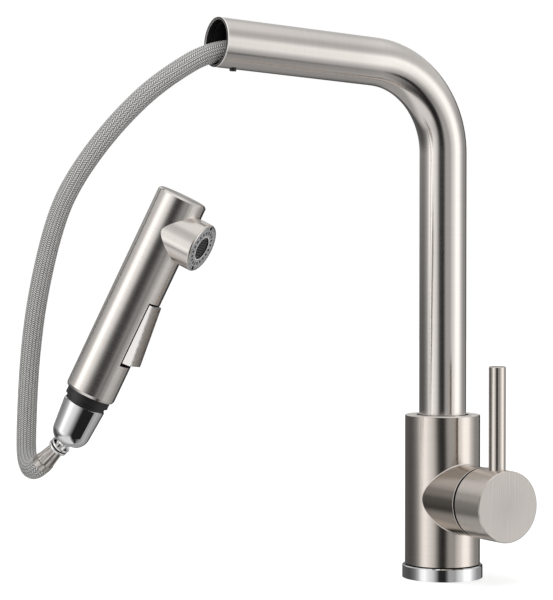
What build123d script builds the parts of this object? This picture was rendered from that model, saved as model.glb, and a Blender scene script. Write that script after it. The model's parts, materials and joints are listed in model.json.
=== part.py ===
from build123d import *
from math import atan2, cos, hypot, pi, radians, sin, sqrt, tan
import os

# A pull-out kitchen mixer tap, pulled out and hanging from its spout.
# Millimetres and degrees. The origin is the centre of the base's underside, on the riser's axis. +Z is up,
# the spout's arm points along -X, and the lever's axis along -Y.

# Clearances
slip_gap = 0.05  # radial room between pieces that push together and stay
running_gap = 0.05  # radial room between pieces that turn or slide
end_gap = 0.05  # room between faces that are stacked
thread_gap = 0.1  # radial room left for a thread that isn't cut
snap_room = 0.4  # between the snap ring's bore and the groove in the spout's foot
finger_side_room = 0.2  # beside the selector's finger
finger_end_room = 1.5  # before and behind the finger, past its swing

# Spout
tube_radius = 15.0
tube_wall = 1.2
arm_height = 324.0  # where the arm's axis crosses the riser's
arm_rise = 3.3  # the arm climbs this steeply towards its mouth
arm_reach = 165.0  # from the crossing to the mouth, along the arm
bend_radius = 56.0

# Body and base
body_radius = 24.0
body_wall = 2.5
body_top = 104.0
body_top_wall = 3.0
body_edge = 0.4
base_radius = 25.7
base_height = 8.2
base_bore_radius = 18.5
base_edge = 0.6
shadow_gap = 0.7  # dark line between the base ring and the body
ledge_width = 1.3  # how far the base ring's ledge reaches under the body's wall
spigot_height = 5.75
gasket_width = 4.0
gasket_depth = 1.5
gasket_inset = 1.7  # from the base ring's rim

# Bearings of the spout in the valve block
bearing_height = 3.9
bearing_room = 0.4  # between the body's top hole and the tube
socket_depth = 25.0
washer_height = 0.95
washer_width = 3.4
foot_length = 19.0
foot_spigot = 12.0
foot_bore_radius = 11.0
o_ring_section = 0.98
o_ring_groove = 2.4
lower_o_ring_height = 4.2  # above the foot's underside
upper_o_ring_height = 15.2
snap_height = 10.5  # above the socket's floor
snap_thickness = 0.9
snap_width = 2.8
snap_foot_groove = 2.0
snap_opening = 60.0

# Lever and cartridge, along the lever's axis from the riser's axis outwards
lever_height = 51.8
boss_radius = 22.0
boss_bore_radius = 18.0
saddle_fillet = 0.7
lift_pivot = 24.0
knuckle_gap = 1.0  # between the cap's rear rim and the boss's rounded front
nut_gap = 0.6  # between the cap's rear rim and the cartridge nut
cap_rear = 45.4
cap_depth = 25.1
cap_radius = 22.2
cap_wall = 1.0
cap_plate = 3.0
cap_edge = 0.6
hub_radius = 9.0
hub_back = 54.0
rod_radius = 5.25
rod_position = 59.0
rod_top = 137.5
rod_edge = 0.8
rod_stub_radius = 2.95
rod_stub_length = 5.25
grub_radius = 1.95
grub_length = 5.2
grub_hex_radius = 1.15
grub_hex_depth = 2.5
grub_access_radius = 2.6
stem_width = 7.0
stem_front = 64.0
stem_back = 20.5
stem_neck_radius = 1.4
drive_ball_radius = 2.1
drive_ball_position = 18.4
drive_ball_room = 0.1
pivot_pin_radius = 1.5
pivot_pin_length = 29.0
cavity_back = 8.0
housing_radius = 17.5
housing_wall = 2.0
housing_lid = 2.9
lid_opening_radius = 13.0
cartridge_base_height = 3.45
fixed_disc_radius = 13.0
fixed_disc_height = 2.5
moving_disc_radius = 10.5
moving_disc_height = 4.85
mixing_hollow_depth = 1.5
mixing_hollow_margin = 0.6  # between the hollow and the hot and cold ports when the lever is shut
mixing_hollow_foot = 0.9  # below the middle of the mixed port
carrier_height = 20.6
carrier_room = 0.3
carrier_slot_half_width = 4.1
carrier_slot_top = 6.5
carrier_slot_bottom = 10.5
carrier_lug_width = 2.3
carrier_lug_height = 10.0
carrier_lug_length = 3.6
carrier_lug_gap = 0.2
nut_height = 4.95
nut_bore_radius = 13.6
inlet_offset = 8.0  # of the hot and cold ports, to each side of the lever's axis
inlet_rise = 4.2  # of the hot and cold ports, above the lever's axis
inlet_radius = 2.3
outlet_drop = 6.0  # of the mixed port, below the lever's axis
outlet_radius = 2.6
seal_width = 1.2
seal_height = 0.9

# Waterways and threads in the valve block's underside
supply_offset = 9.5
supply_forward = 5.5
supply_thread_radius = 4.46  # tapping radius of a 10 x 1 mm thread
thread_depth = 12.0
mixed_forward = 12.8
waterway_radius = 2.5
waterway_forward = 4.8
cross_bore_height = 29.0
stud_offset = 15.0
stud_back = 2.0
stud_thread_radius = 2.5  # tapping radius of a 6 mm thread

# Hose
hose_radius = 6.0
hose_room = 0.3  # round the hose in the block's channel
hose_joint_rise = 8.6  # straight hose between the channel's bend and where the riser's stretch starts
channel_top = 73.0
channel_foot = 34.0
channel_back = 11.0
channel_bend = 46.0
hose_tail_top = 12.0
hose_tail_bottom = 0.8
tail_ferrule_radius = 6.5
tail_nut_radius = 6.6
tail_nut_height = 4.2
tail_bore_radius = 3.0
arm_stretch_start = 56.0  # along the arm, from the crossing
arm_stretch_end = 117.5
mouth_straight_end = 159.5
corner_share = 0.45  # of the shorter run that each corner's arc takes
last_corner_share = 0.95  # the last run holds one arc alone, so it takes nearly all of it

# Mouth lining and its pin, by their depth inside the mouth
guide_recess = 0.6
guide_length = 33.4
guide_lip_depth = 4.6
guide_lip_wall = 0.4
guide_mouth_radius = 12.5
guide_inner_radius = 11.0
pin_depth = 12.5
pin_radius = 2.08
pin_proud = 1.2
pin_inner_reach = 12.2

# Spray: the place of its top end, the way its axis runs to the hose, and the way its nozzle faces
spray_top_reach = 201.61
spray_top_offset = 28.40
spray_top_height = 239.98
spray_along = Vector(-0.3350, 0.2825, -0.8989).normalized()
nozzle_facing = Vector(0.5425, -0.7222, -0.4292)
spray_length = 127.6
spray_end_edge = 0.6
spray_end_bevel = 1.5
end_cap_height = 3.0
end_cap_edge = 1.2
end_cap_plate = 2.5
end_cap_spigot = 4.0
insert_wall = 1.5

# Nozzle, by its height above the spray's axis
nozzle_position = 21.8  # from the spray's top end
nozzle_reach = 24.94
nozzle_foot_radius = 14.7
nozzle_rim_radius = 14.5
nozzle_rim_edge = 1.2
nozzle_bore_radius = 12.4
face_seat = 22.5
face_seat_radius = 13.3
face_recess = 0.3
nozzle_body_foot = -4.0
feed_chamber_radius = 6.2
feed_chamber_floor = -1.0
aerator_radius = 7.5
aerator_wall = 0.7
aerator_seat = 12.5
aerator_recess = 0.24
aerator_ledge = 1.4
aerator_hole_radius = 0.6
aerator_hole_pitch = 2.4  # between rings of holes
aerator_hole_ring = 6  # holes in the first ring, and as many more in each ring outside it
mesh_thickness = 0.8
mesh_recess = 0.8
mesh_pitch = 1.5
mesh_hole = 1.0
ring_channel_inner = 8.6
ring_channel_outer = 10.8
ring_channel_floor = 7.0
slot_count = 20
slot_inner_radius = 8.75
slot_outer_radius = 10.65
slot_width = 1.3
face_notch_width = 2.6
face_notch_depth = 1.9
nozzle_ring_height = 1.8

# Feeds from the diverter to the nozzle: height above the spray's axis and distance to one side
feed_outer_radius = 2.9
feed_bore_radius = 2.0
feed_seat_depth = 1.5
aerator_feed_rise = 2.0
spray_feed_side = -6.4
spray_feed_top = 8.0
spray_feed_bottom = -7.5
spray_feed_start = 31.0  # from the spray's top end

# Selector and diverter, by distance back from the shell's hose end and height above the spray's axis
slot_setback = 44.1  # to the slot's middle
slot_length = 40.0
slot_half_width = 7.2
rocker_length = 37.0
rocker_half_width = 6.8
rocker_top = 17.1
rocker_underside = 11.5
rocker_edge = 0.5
rocker_tilt = 6.1
rocker_pivot_height = 8.5
rocker_boss_radius = 3.0
rocker_pin_radius = 1.2
rocker_pin_length = 18.6
finger_reach = 6.5
finger_half_width = 2.0
finger_web = 2.0
finger_tip_radius = 1.4
finger_tip_room = 0.1
diverter_setback = 15.6  # to the diverter's end
diverter_length = 54.0
pocket_half_width = 7.4
pocket_length = 43.0
pocket_floor = 5.0
plunger_radius = 4.0
plunger_length = 25.0
plunger_inset = 14.0  # from the diverter's start
plunger_bore_inset = 8.0
plunger_ring_inset = 4.0
plunger_ring_section = 0.5
plunger_ring_groove = 1.6
side_port_inset = 21.0
side_port_radius = 1.5

# Spray's inlet, collar and dome nut, by how far they reach past the shell's hose end
inlet_radius_outer = 9.0
inlet_flange = 4.0
inlet_reach = 16.4
inlet_neck_radius = 4.0
inlet_neck_length = 6.0
valve_bore_radius = 6.05
valve_length = 12.0
valve_bore = 3.0
filter_thickness = 1.5
filter_hole_radius = 0.7
filter_hole_pitch = 2.1
collar_step_reach = 4.4
collar_reach = 6.9
collar_wide_radius = 13.2
collar_narrow_radius = 11.9
dome_wide_radius = 12.6
dome_edge = 0.5
dome_shoulder_reach = 25.4
dome_shoulder_radius = 11.25
dome_reach = 32.4
dome_nose_radius = 6.95
dome_opening_radius = 6.6

# Ball joint and hose fitting, the fitting by its distance from the ball's centre
ball_reach = 27.4
fitting_along = Vector(-0.3755, 0.6494, -0.6613).normalized()
ball_radius = 7.0
ball_lip = 3.2
ball_shoulder = 1.5
seat_bore_radius = 3.5
seat_ring_section = 0.68
seat_ring_groove = 1.8
seat_ring_setback = 1.1
neck_radius = 3.5
neck_end = 8.2
flange_radius = 6.0
flange_width = 1.6
flange_groove = 0.9
flange_groove_radius = 4.6
flange_edge = 0.5
shank_radius = 3.1
shank_end = 19.4
stud_bore_radius = 2.2
sleeve_start = 12.5
sleeve_narrow_radius = 4.4
sleeve_wide_radius = 5.8
sleeve_flutes = 14
sleeve_flute_depth = 0.4
band_start = 24.0
band_radius = 6.1
fitting_end = 28.0

# The hose's free route, after its straight start in the mouth, chosen by hand to hang as in the picture
hose_route = [
    (-199.8, 5.0, 309.5),
    (-226.1, 14.4, 282.1),
    (-245.5, 24.5, 252.5),
    (-255.3, 31.3, 228.0),
    (-262.8, 40.2, 184.8),
    (-264.5, 49.3, 145.0),
    (-263.9, 55.9, 103.7),
    (-262.8, 58.7, 82.6),
]
fold_distance = 35.5  # where the hose's last run turns into the fitting's line, from the ball's centre

os.makedirs("parts", exist_ok=True)


def section(origin, outward, along):
    """A plane whose X runs out from an axis and whose Y runs along it."""
    return Plane(origin=origin, x_dir=outward, z_dir=Vector(outward).cross(Vector(along)))


def ring(inner, outer, low, high):
    """The corners of a ring's section."""
    return [(inner, low), (outer, low), (outer, high), (inner, high)]


def grid_inside(pitch, radius):
    """The places of a square grid that stay half a pitch inside a circle."""
    rows = int(radius / pitch)
    return [
        (column * pitch, row * pitch)
        for column in range(-rows, rows + 1)
        for row in range(-rows, rows + 1)
        if hypot(column, row) * pitch < radius - pitch / 2
    ]


def corner_radii(points):
    """As large an arc at each corner of a route as its two runs allow."""
    radii = []
    for i in range(1, len(points) - 1):
        before = points[i] - points[i - 1]
        after = points[i + 1] - points[i]
        half_turn = radians(before.get_angle(after)) / 2
        reach = corner_share * min(before.length, after.length)
        if i == len(points) - 2:
            reach = last_corner_share * after.length
        radii.append(reach / tan(half_turn))
    return radii


# Places worked out from the driving dimensions
body_inner = body_radius - body_wall
body_bottom = base_height + shadow_gap
spigot_top = base_height + spigot_height
block_bottom = spigot_top + end_gap
block_radius = body_inner - slip_gap
bearing_top = body_top - body_top_wall - end_gap
bearing_bottom = bearing_top - bearing_height
block_top = bearing_bottom - end_gap
socket_floor = block_top - socket_depth
socket_radius = tube_radius + running_gap
tube_bore = tube_radius - tube_wall
foot_bottom = socket_floor + washer_height + end_gap
foot_top = foot_bottom + foot_length
snap_level = socket_floor + snap_height

cap_front = cap_rear + cap_depth
cap_inner = cap_radius - cap_wall
hub_front = cap_front - cap_plate
cap_sweep = hypot(cap_rear - lift_pivot, cap_inner)
knuckle_radius = cap_sweep - knuckle_gap
cavity_radius = housing_radius + slip_gap
cartridge_back = cavity_back + end_gap
disc_seat = cartridge_back + cartridge_base_height
fixed_disc_front = disc_seat + fixed_disc_height
moving_disc_back = fixed_disc_front + end_gap
moving_disc_front = moving_disc_back + moving_disc_height
carrier_back = moving_disc_front + carrier_room
carrier_front = carrier_back + carrier_height
lid_back = carrier_front + carrier_room
housing_front = lid_back + housing_lid
housing_inner = housing_radius - housing_wall
carrier_radius = housing_inner - running_gap
nut_back = housing_front + end_gap
nut_front = nut_back + nut_height
nut_radius = boss_bore_radius - thread_gap
stem_half = stem_width / 2
socket_half = stem_half + slip_gap

arm_along = Vector(-cos(radians(arm_rise)), 0, sin(radians(arm_rise)))
arm_down = Vector(-sin(radians(arm_rise)), 0, -cos(radians(arm_rise)))
arm_crossing = Vector(0, 0, arm_height)
mouth = arm_crossing + arm_along * arm_reach

channel_turn = atan2(channel_back, channel_top - channel_foot)
hose_joint_height = channel_top + channel_bend * tan(channel_turn / 2) + hose_joint_rise

diverter_end = spray_length - diverter_setback
diverter_start = diverter_end - diverter_length
slot_middle = spray_length - slot_setback
plunger_start = diverter_start + plunger_inset
plunger_end = plunger_start + plunger_length
plunger_bore_start = diverter_start + plunger_bore_inset
side_port_position = diverter_start + side_port_inset
inlet_neck_end = diverter_end + inlet_neck_length
inlet_end = spray_length + inlet_reach
collar_step_position = spray_length + collar_step_reach
collar_end = spray_length + collar_reach
dome_shoulder = spray_length + dome_shoulder_reach
dome_end = spray_length + dome_reach
ball_position = spray_length + ball_reach

spray_top = Vector(-spray_top_reach, -spray_top_offset, spray_top_height)
nozzle_along = (nozzle_facing - spray_along * nozzle_facing.dot(spray_along)).normalized()
spray_side = spray_along.cross(nozzle_along)
insert_radius = tube_bore - slip_gap
nozzle_centre = spray_top + spray_along * nozzle_position
rocker_pivot = spray_top + spray_along * slot_middle + nozzle_along * rocker_pivot_height
tilt = radians(rocker_tilt)
rocker_along = spray_along * cos(tilt) + nozzle_along * sin(tilt)
finger_tip_position = slot_middle + finger_reach * sin(tilt)
finger_tip_height = rocker_pivot_height - finger_reach * cos(tilt)
ball_centre = spray_top + spray_along * ball_position
ball_seat_radius = ball_radius + running_gap
inlet_bore = inlet_radius_outer + slip_gap

# Planes to draw on: sections through each axis, then views square to it
riser_section = Plane.XZ
riser_axis = Axis.Z
lever_centre = Vector(0, 0, lever_height)
lever_section = section(lever_centre, (1, 0, 0), (0, -1, 0))
lever_axis = Axis(lever_centre, (0, -1, 0))
lever_side = Plane(origin=lever_centre, x_dir=(0, -1, 0), z_dir=(1, 0, 0))
arm_section = section(mouth, (0, -1, 0), arm_along)
arm_axis = Axis(mouth, arm_along)
spray_section = section(spray_top, nozzle_along, spray_along)
spray_axis = Axis(spray_top, spray_along)
spray_profile = Plane(origin=spray_top, x_dir=spray_along, z_dir=spray_side)
nozzle_section = section(nozzle_centre, spray_along, nozzle_along)
nozzle_axis = Axis(nozzle_centre, nozzle_along)
rocker_profile = Plane(origin=rocker_pivot, x_dir=rocker_along, z_dir=spray_side)
fitting_outward = fitting_along.cross(spray_along).normalized()
fitting_section = section(ball_centre, fitting_outward, fitting_along)
fitting_axis = Axis(ball_centre, fitting_along)


def lever_front(position):
    """The plane square to the lever's axis, this far out, with Y up."""
    return Plane(origin=(0, -position, lever_height), x_dir=(1, 0, 0), z_dir=(0, -1, 0))


def spray_cross(position):
    """The plane square to the spray's axis, this far from its top end, with X towards the nozzle's side."""
    return Plane(origin=spray_top + spray_along * position, x_dir=nozzle_along, z_dir=spray_along)


def nozzle_cross(height):
    """The plane square to the nozzle's axis, this far from the spray's axis, with X towards the hose."""
    return Plane(origin=nozzle_centre + nozzle_along * height, x_dir=spray_along, z_dir=nozzle_along)


def fitting_cross(distance):
    """The plane square to the hose fitting's axis, this far from the ball's centre."""
    return Plane(origin=ball_centre + fitting_along * distance, x_dir=fitting_outward, z_dir=fitting_along)


# Base

with BuildPart() as base_ring:
    with BuildSketch(riser_section):
        Polygon(
            (base_bore_radius, 0),
            (base_radius, 0),
            (base_radius, base_height - base_edge),
            (base_radius - base_edge, base_height),
            (body_inner + ledge_width, base_height),
            (body_inner + ledge_width, body_bottom),
            (body_inner - slip_gap, body_bottom),
            (body_inner - slip_gap, spigot_top),
            (base_bore_radius, spigot_top),
            align=None,
        )
    revolve(axis=riser_axis)
    gasket_outer = base_radius - gasket_inset
    with BuildSketch(riser_section):
        Polygon(*ring(gasket_outer - gasket_width, gasket_outer, 0, gasket_depth), align=None)
    revolve(axis=riser_axis, mode=Mode.SUBTRACT)
base_ring.part.label = "base_ring"
export_step(base_ring.part, "parts/base_ring.step")

with BuildPart() as base_gasket:
    with BuildSketch(riser_section):
        Polygon(
            *ring(gasket_outer - gasket_width + slip_gap, gasket_outer - slip_gap, 0, gasket_depth),
            align=None,
        )
    revolve(axis=riser_axis)
base_gasket.part.label = "base_gasket"
export_step(base_gasket.part, "parts/base_gasket.step")

# Body shell with the lever's boss on its side; the boss's front is part of a ball about the lift pivot

with BuildPart() as body_shell:
    with BuildSketch(Plane.XY.offset(body_bottom)):
        Circle(body_radius)
    extrude(amount=body_top - body_bottom)
    chamfer(body_shell.edges().group_by(Axis.Z)[-1], length=body_edge)
    boss_front = lift_pivot + sqrt(knuckle_radius**2 - boss_radius**2)
    bore_front = lift_pivot + sqrt(knuckle_radius**2 - boss_bore_radius**2)
    middle_radius = (boss_radius + boss_bore_radius) / 2
    middle_front = lift_pivot + sqrt(knuckle_radius**2 - middle_radius**2)
    with BuildSketch(lever_section):
        with BuildLine():
            Polyline((boss_radius, boss_front), (boss_radius, 0), (0, 0), (0, bore_front))
            Line((0, bore_front), (boss_bore_radius, bore_front))
            ThreePointArc(
                (boss_bore_radius, bore_front), (middle_radius, middle_front), (boss_radius, boss_front)
            )
        make_face()
    revolve(axis=lever_axis)
    saddle = body_shell.edges(Select.LAST).filter_by(GeomType.BSPLINE)
    fillet(saddle, radius=saddle_fillet)
    with BuildSketch(Plane.XY.offset(body_bottom)):
        Circle(body_inner)
    extrude(amount=body_top - body_top_wall - body_bottom, mode=Mode.SUBTRACT)
    with BuildSketch(Plane.XY.offset(body_top)):
        Circle(tube_radius + bearing_room)
    extrude(amount=-body_top_wall, mode=Mode.SUBTRACT)
    with BuildSketch(lever_front(0)):
        Circle(boss_bore_radius)
    extrude(amount=cap_front, mode=Mode.SUBTRACT)
body_shell.part.label = "body_shell"
export_step(body_shell.part, "parts/body_shell.step")

# Valve block: the spout's socket on top, the cartridge's cavity in front, and the ways of the water

with BuildPart() as valve_block:
    with BuildSketch(Plane.XY.offset(block_bottom)):
        Circle(block_radius)
    extrude(amount=block_top - block_bottom)
    with BuildSketch(Plane.XY.offset(socket_floor)):
        Circle(socket_radius)
    extrude(amount=socket_depth, mode=Mode.SUBTRACT)
    with BuildSketch(Plane.XY.offset(snap_level - snap_thickness / 2 - end_gap)):
        Circle(socket_radius + snap_width / 2)
    extrude(amount=snap_thickness + 2 * end_gap, mode=Mode.SUBTRACT)
    with BuildSketch(lever_front(cavity_back)):
        Circle(cavity_radius)
    extrude(amount=body_radius, mode=Mode.SUBTRACT)
    # the slanting channel that holds the hose
    with BuildLine():
        channel_route = FilletPolyline(
            (0, 0, hose_joint_height),
            (0, 0, channel_top),
            (0, channel_back, channel_foot),
            (0, channel_back, 0),
            radius=channel_bend,
        )
    with BuildSketch(Plane.XY.offset(hose_joint_height)):
        Circle(hose_radius + hose_room)
    sweep(path=channel_route, mode=Mode.SUBTRACT)
    # hot and cold: a threaded hole below, a bore up beside the cavity, a port into its back
    hose_places = [(-supply_offset, -supply_forward), (supply_offset, -supply_forward), (0, -mixed_forward)]
    with BuildSketch(Plane.XY.offset(block_bottom)):
        with Locations(*hose_places):
            Circle(supply_thread_radius)
        with Locations((-stud_offset, stud_back), (stud_offset, stud_back)):
            Circle(stud_thread_radius)
    extrude(amount=thread_depth, mode=Mode.SUBTRACT)
    with BuildSketch(Plane.XY.offset(block_bottom)):
        with Locations((-inlet_offset, -waterway_forward), (inlet_offset, -waterway_forward)):
            Circle(waterway_radius)
    extrude(amount=lever_height + inlet_rise - block_bottom, mode=Mode.SUBTRACT)
    with BuildSketch(lever_front(waterway_forward)):
        with Locations((-inlet_offset, inlet_rise), (inlet_offset, inlet_rise)):
            Circle(inlet_radius)
        with Locations((0, -outlet_drop)):
            Circle(outlet_radius)
    extrude(amount=cavity_back - waterway_forward, mode=Mode.SUBTRACT)
    # mixed water: down behind the cavity, across, and out below
    with BuildSketch(Plane.XY.offset(cross_bore_height - waterway_radius)):
        with Locations((0, -waterway_forward)):
            Circle(waterway_radius)
    extrude(amount=lever_height - outlet_drop - cross_bore_height + waterway_radius, mode=Mode.SUBTRACT)
    with BuildSketch(Plane(origin=(0, -waterway_forward, cross_bore_height), z_dir=(0, -1, 0))):
        Circle(waterway_radius)
    extrude(amount=mixed_forward - waterway_forward, mode=Mode.SUBTRACT)
    with BuildSketch(Plane.XY.offset(block_bottom + thread_depth)):
        with Locations((0, -mixed_forward)):
            Circle(waterway_radius)
    extrude(amount=cross_bore_height - block_bottom - thread_depth, mode=Mode.SUBTRACT)
valve_block.part.label = "valve_block"
export_step(valve_block.part, "parts/valve_block.step")

# What the spout turns in

with BuildPart() as upper_bearing:
    with BuildSketch(riser_section):
        Polygon(
            *ring(tube_radius + running_gap, body_inner - slip_gap, bearing_bottom, bearing_top), align=None
        )
    revolve(axis=riser_axis)
upper_bearing.part.label = "upper_bearing"
export_step(upper_bearing.part, "parts/upper_bearing.step")

with BuildPart() as thrust_washer:
    with BuildSketch(riser_section):
        Polygon(
            *ring(
                tube_radius - washer_width,
                tube_radius - slip_gap,
                socket_floor,
                socket_floor + washer_height,
            ),
            align=None,
        )
    revolve(axis=riser_axis)
thrust_washer.part.label = "thrust_washer"
export_step(thrust_washer.part, "parts/thrust_washer.step")

with BuildPart() as snap_ring:
    snap_outer = socket_radius + snap_width / 2 - slip_gap
    with BuildSketch(Plane.XY.offset(snap_level - snap_thickness / 2)):
        Circle(snap_outer)
        Circle(snap_outer - snap_width, mode=Mode.SUBTRACT)
        half_opening = radians(snap_opening / 2)
        Polygon(
            (0, 0),
            (2 * snap_outer * cos(half_opening), -2 * snap_outer * sin(half_opening)),
            (2 * snap_outer * cos(half_opening), 2 * snap_outer * sin(half_opening)),
            align=None,
            mode=Mode.SUBTRACT,
        )
    extrude(amount=snap_thickness)
snap_ring.part.label = "snap_ring"
export_step(snap_ring.part, "parts/snap_ring.step")

# Cartridge: ported base, seals, ceramic discs, housing and the nut that holds it in the boss

port_places = [(-inlet_offset, inlet_rise), (inlet_offset, inlet_rise), (0, -outlet_drop)]
port_radii = [inlet_radius, inlet_radius, outlet_radius]

with BuildPart() as cartridge_base:
    with BuildSketch(lever_front(cartridge_back)):
        Circle(housing_radius - slip_gap)
        for place, radius in zip(port_places, port_radii):
            with Locations(place):
                Circle(radius, mode=Mode.SUBTRACT)
    extrude(amount=cartridge_base_height)
    with BuildSketch(lever_front(cartridge_back)):
        for place, radius in zip(port_places, port_radii):
            with Locations(place):
                Circle(radius + seal_width + 2 * slip_gap)
    extrude(amount=seal_height + end_gap, mode=Mode.SUBTRACT)
cartridge_base.part.label = "cartridge_base"
export_step(cartridge_base.part, "parts/cartridge_base.step")

with BuildPart() as port_seals:
    with BuildSketch(lever_front(cartridge_back)):
        for place, radius in zip(port_places, port_radii):
            with Locations(place):
                Circle(radius + seal_width + slip_gap)
                Circle(radius + slip_gap, mode=Mode.SUBTRACT)
    extrude(amount=seal_height)
port_seals.part.label = "port_seals"
export_step(port_seals.part, "parts/port_seals.step")

with BuildPart() as fixed_disc:
    with BuildSketch(lever_front(disc_seat)):
        Circle(fixed_disc_radius)
        for place, radius in zip(port_places, port_radii):
            with Locations(place):
                Circle(radius, mode=Mode.SUBTRACT)
    extrude(amount=fixed_disc_height)
fixed_disc.part.label = "fixed_disc"
export_step(fixed_disc.part, "parts/fixed_disc.step")

with BuildPart() as cartridge_housing:
    with BuildSketch(lever_section):
        Polygon(
            (housing_radius, disc_seat),
            (housing_radius, housing_front),
            (lid_opening_radius, housing_front),
            (lid_opening_radius, lid_back),
            (housing_inner, lid_back),
            (housing_inner, fixed_disc_front - end_gap),
            (fixed_disc_radius + slip_gap, fixed_disc_front - end_gap),
            (fixed_disc_radius + slip_gap, disc_seat),
            align=None,
        )
    revolve(axis=lever_axis)
cartridge_housing.part.label = "cartridge_housing"
export_step(cartridge_housing.part, "parts/cartridge_housing.step")

with BuildPart() as cartridge_nut:
    nut_reach = cap_sweep - nut_gap
    nut_nose_radius = sqrt(nut_reach**2 - (nut_front - lift_pivot) ** 2)
    nut_edge_start = lift_pivot + sqrt(nut_reach**2 - nut_radius**2)
    with BuildSketch(lever_section):
        Polygon(
            (nut_bore_radius, nut_back),
            (nut_radius, nut_back),
            (nut_radius, nut_edge_start - end_gap),
            (nut_nose_radius - slip_gap, nut_front),
            (nut_bore_radius, nut_front),
            align=None,
        )
    revolve(axis=lever_axis)
cartridge_nut.part.label = "cartridge_nut"
export_step(cartridge_nut.part, "parts/cartridge_nut.step")

# The ceramic disc that slides: a hollow underneath joins the ports, a blind hole on top takes the stem

with BuildPart() as moving_disc:
    with BuildSketch(lever_front(moving_disc_back)):
        Circle(moving_disc_radius)
    extrude(amount=moving_disc_height)
    hollow_top = inlet_rise - inlet_radius - mixing_hollow_margin
    hollow_foot = -outlet_drop - mixing_hollow_foot
    with BuildSketch(lever_front(moving_disc_back)):
        Polygon(
            (-inlet_offset, hollow_top),
            (-outlet_drop, hollow_foot),
            (outlet_drop, hollow_foot),
            (inlet_offset, hollow_top),
            align=None,
        )
    extrude(amount=mixing_hollow_depth, mode=Mode.SUBTRACT)
    ball_hole_depth = moving_disc_front - drive_ball_position + drive_ball_radius + drive_ball_room
    with BuildSketch(lever_front(moving_disc_front)):
        Circle(drive_ball_radius + drive_ball_room)
    extrude(amount=-ball_hole_depth, mode=Mode.SUBTRACT)
moving_disc.part.label = "moving_disc"
export_step(moving_disc.part, "parts/moving_disc.step")

# Carrier: turns with the lever, and holds the pin that the stem rocks on

with BuildPart() as stem_carrier:
    with BuildSketch(lever_front(carrier_back)):
        Circle(carrier_radius)
    extrude(amount=carrier_height)
    with BuildSketch(lever_front(carrier_back)):
        for side in (-1, 1):
            with Locations((side * (moving_disc_radius + carrier_lug_gap + carrier_lug_width / 2), 0)):
                Rectangle(carrier_lug_width, carrier_lug_height)
    extrude(amount=-carrier_lug_length)
    with BuildSketch(lever_front(carrier_back)):
        with Locations((0, (carrier_slot_top - carrier_slot_bottom) / 2)):
            Rectangle(2 * carrier_slot_half_width, carrier_slot_top + carrier_slot_bottom)
    extrude(amount=carrier_height, mode=Mode.SUBTRACT)
    with BuildSketch(lever_side):
        with Locations((lift_pivot, 0)):
            Circle(pivot_pin_radius + slip_gap)
    extrude(amount=carrier_radius, both=True, mode=Mode.SUBTRACT)
stem_carrier.part.label = "stem_carrier"
export_step(stem_carrier.part, "parts/stem_carrier.step")

with BuildPart() as pivot_pin:
    with BuildSketch(lever_side):
        with Locations((lift_pivot, 0)):
            Circle(pivot_pin_radius)
    extrude(amount=pivot_pin_length / 2, both=True)
pivot_pin.part.label = "pivot_pin"
export_step(pivot_pin.part, "parts/pivot_pin.step")

# Stem: a square bar rocking on the pin, with a ball at its foot that drives the sliding disc

with BuildPart() as lever_stem:
    with BuildSketch(lever_front(stem_back)):
        Rectangle(stem_width, stem_width)
    extrude(amount=stem_front - stem_back)
    with BuildSketch(lever_section):
        with BuildLine():
            neck_start = drive_ball_position + sqrt(drive_ball_radius**2 - stem_neck_radius**2)
            Polyline(
                (stem_neck_radius, neck_start),
                (stem_neck_radius, stem_back),
                (0, stem_back),
                (0, drive_ball_position - drive_ball_radius),
            )
            ThreePointArc(
                (0, drive_ball_position - drive_ball_radius),
                (drive_ball_radius, drive_ball_position),
                (stem_neck_radius, neck_start),
            )
        make_face()
    revolve(axis=lever_axis)
    with BuildSketch(lever_side):
        with Locations((lift_pivot, 0)):
            Circle(pivot_pin_radius + running_gap)
    extrude(amount=stem_width, both=True, mode=Mode.SUBTRACT)
lever_stem.part.label = "lever_stem"
export_step(lever_stem.part, "parts/lever_stem.step")

# Lever cap with the hub that grips the stem, the rod, and the screw that locks the hub

rod_plane = Plane(origin=(0, -rod_position, lever_height))
rod_shoulder = hub_radius + end_gap

with BuildPart() as lever_cap:
    with BuildSketch(lever_section):
        Polygon(
            (0, hub_back),
            (hub_radius, hub_back),
            (hub_radius, hub_front),
            (cap_inner, hub_front),
            (cap_inner, cap_rear),
            (cap_radius, cap_rear),
            (cap_radius, cap_front - cap_edge),
            (cap_radius - cap_edge, cap_front),
            (0, cap_front),
            align=None,
        )
    revolve(axis=lever_axis)
    with BuildSketch(lever_front(hub_back)):
        Rectangle(2 * socket_half, 2 * socket_half)
    extrude(amount=stem_front - hub_back + end_gap, mode=Mode.SUBTRACT)
    with BuildSketch(rod_plane):
        Circle(rod_stub_radius + slip_gap)
    extrude(amount=hub_radius, mode=Mode.SUBTRACT)
    with BuildSketch(rod_plane.offset(hub_radius)):
        Circle(rod_radius + slip_gap)
    extrude(amount=cap_radius, mode=Mode.SUBTRACT)
    with BuildSketch(rod_plane):
        Circle(grub_radius + slip_gap)
    extrude(amount=-hub_radius, mode=Mode.SUBTRACT)
    with BuildSketch(rod_plane.offset(-hub_radius)):
        Circle(grub_access_radius)
    extrude(amount=-cap_radius, mode=Mode.SUBTRACT)
lever_cap.part.label = "lever_cap"
export_step(lever_cap.part, "parts/lever_cap.step")

with BuildPart() as lever_rod:
    with BuildSketch(rod_plane.offset(rod_shoulder)):
        Circle(rod_radius)
    extrude(amount=rod_top - lever_height - rod_shoulder)
    fillet(lever_rod.edges().group_by(Axis.Z)[-1], radius=rod_edge)
    with BuildSketch(rod_plane.offset(rod_shoulder)):
        Circle(rod_stub_radius)
    extrude(amount=-rod_stub_length)
lever_rod.part.label = "lever_rod"
export_step(lever_rod.part, "parts/lever_rod.step")

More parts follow.
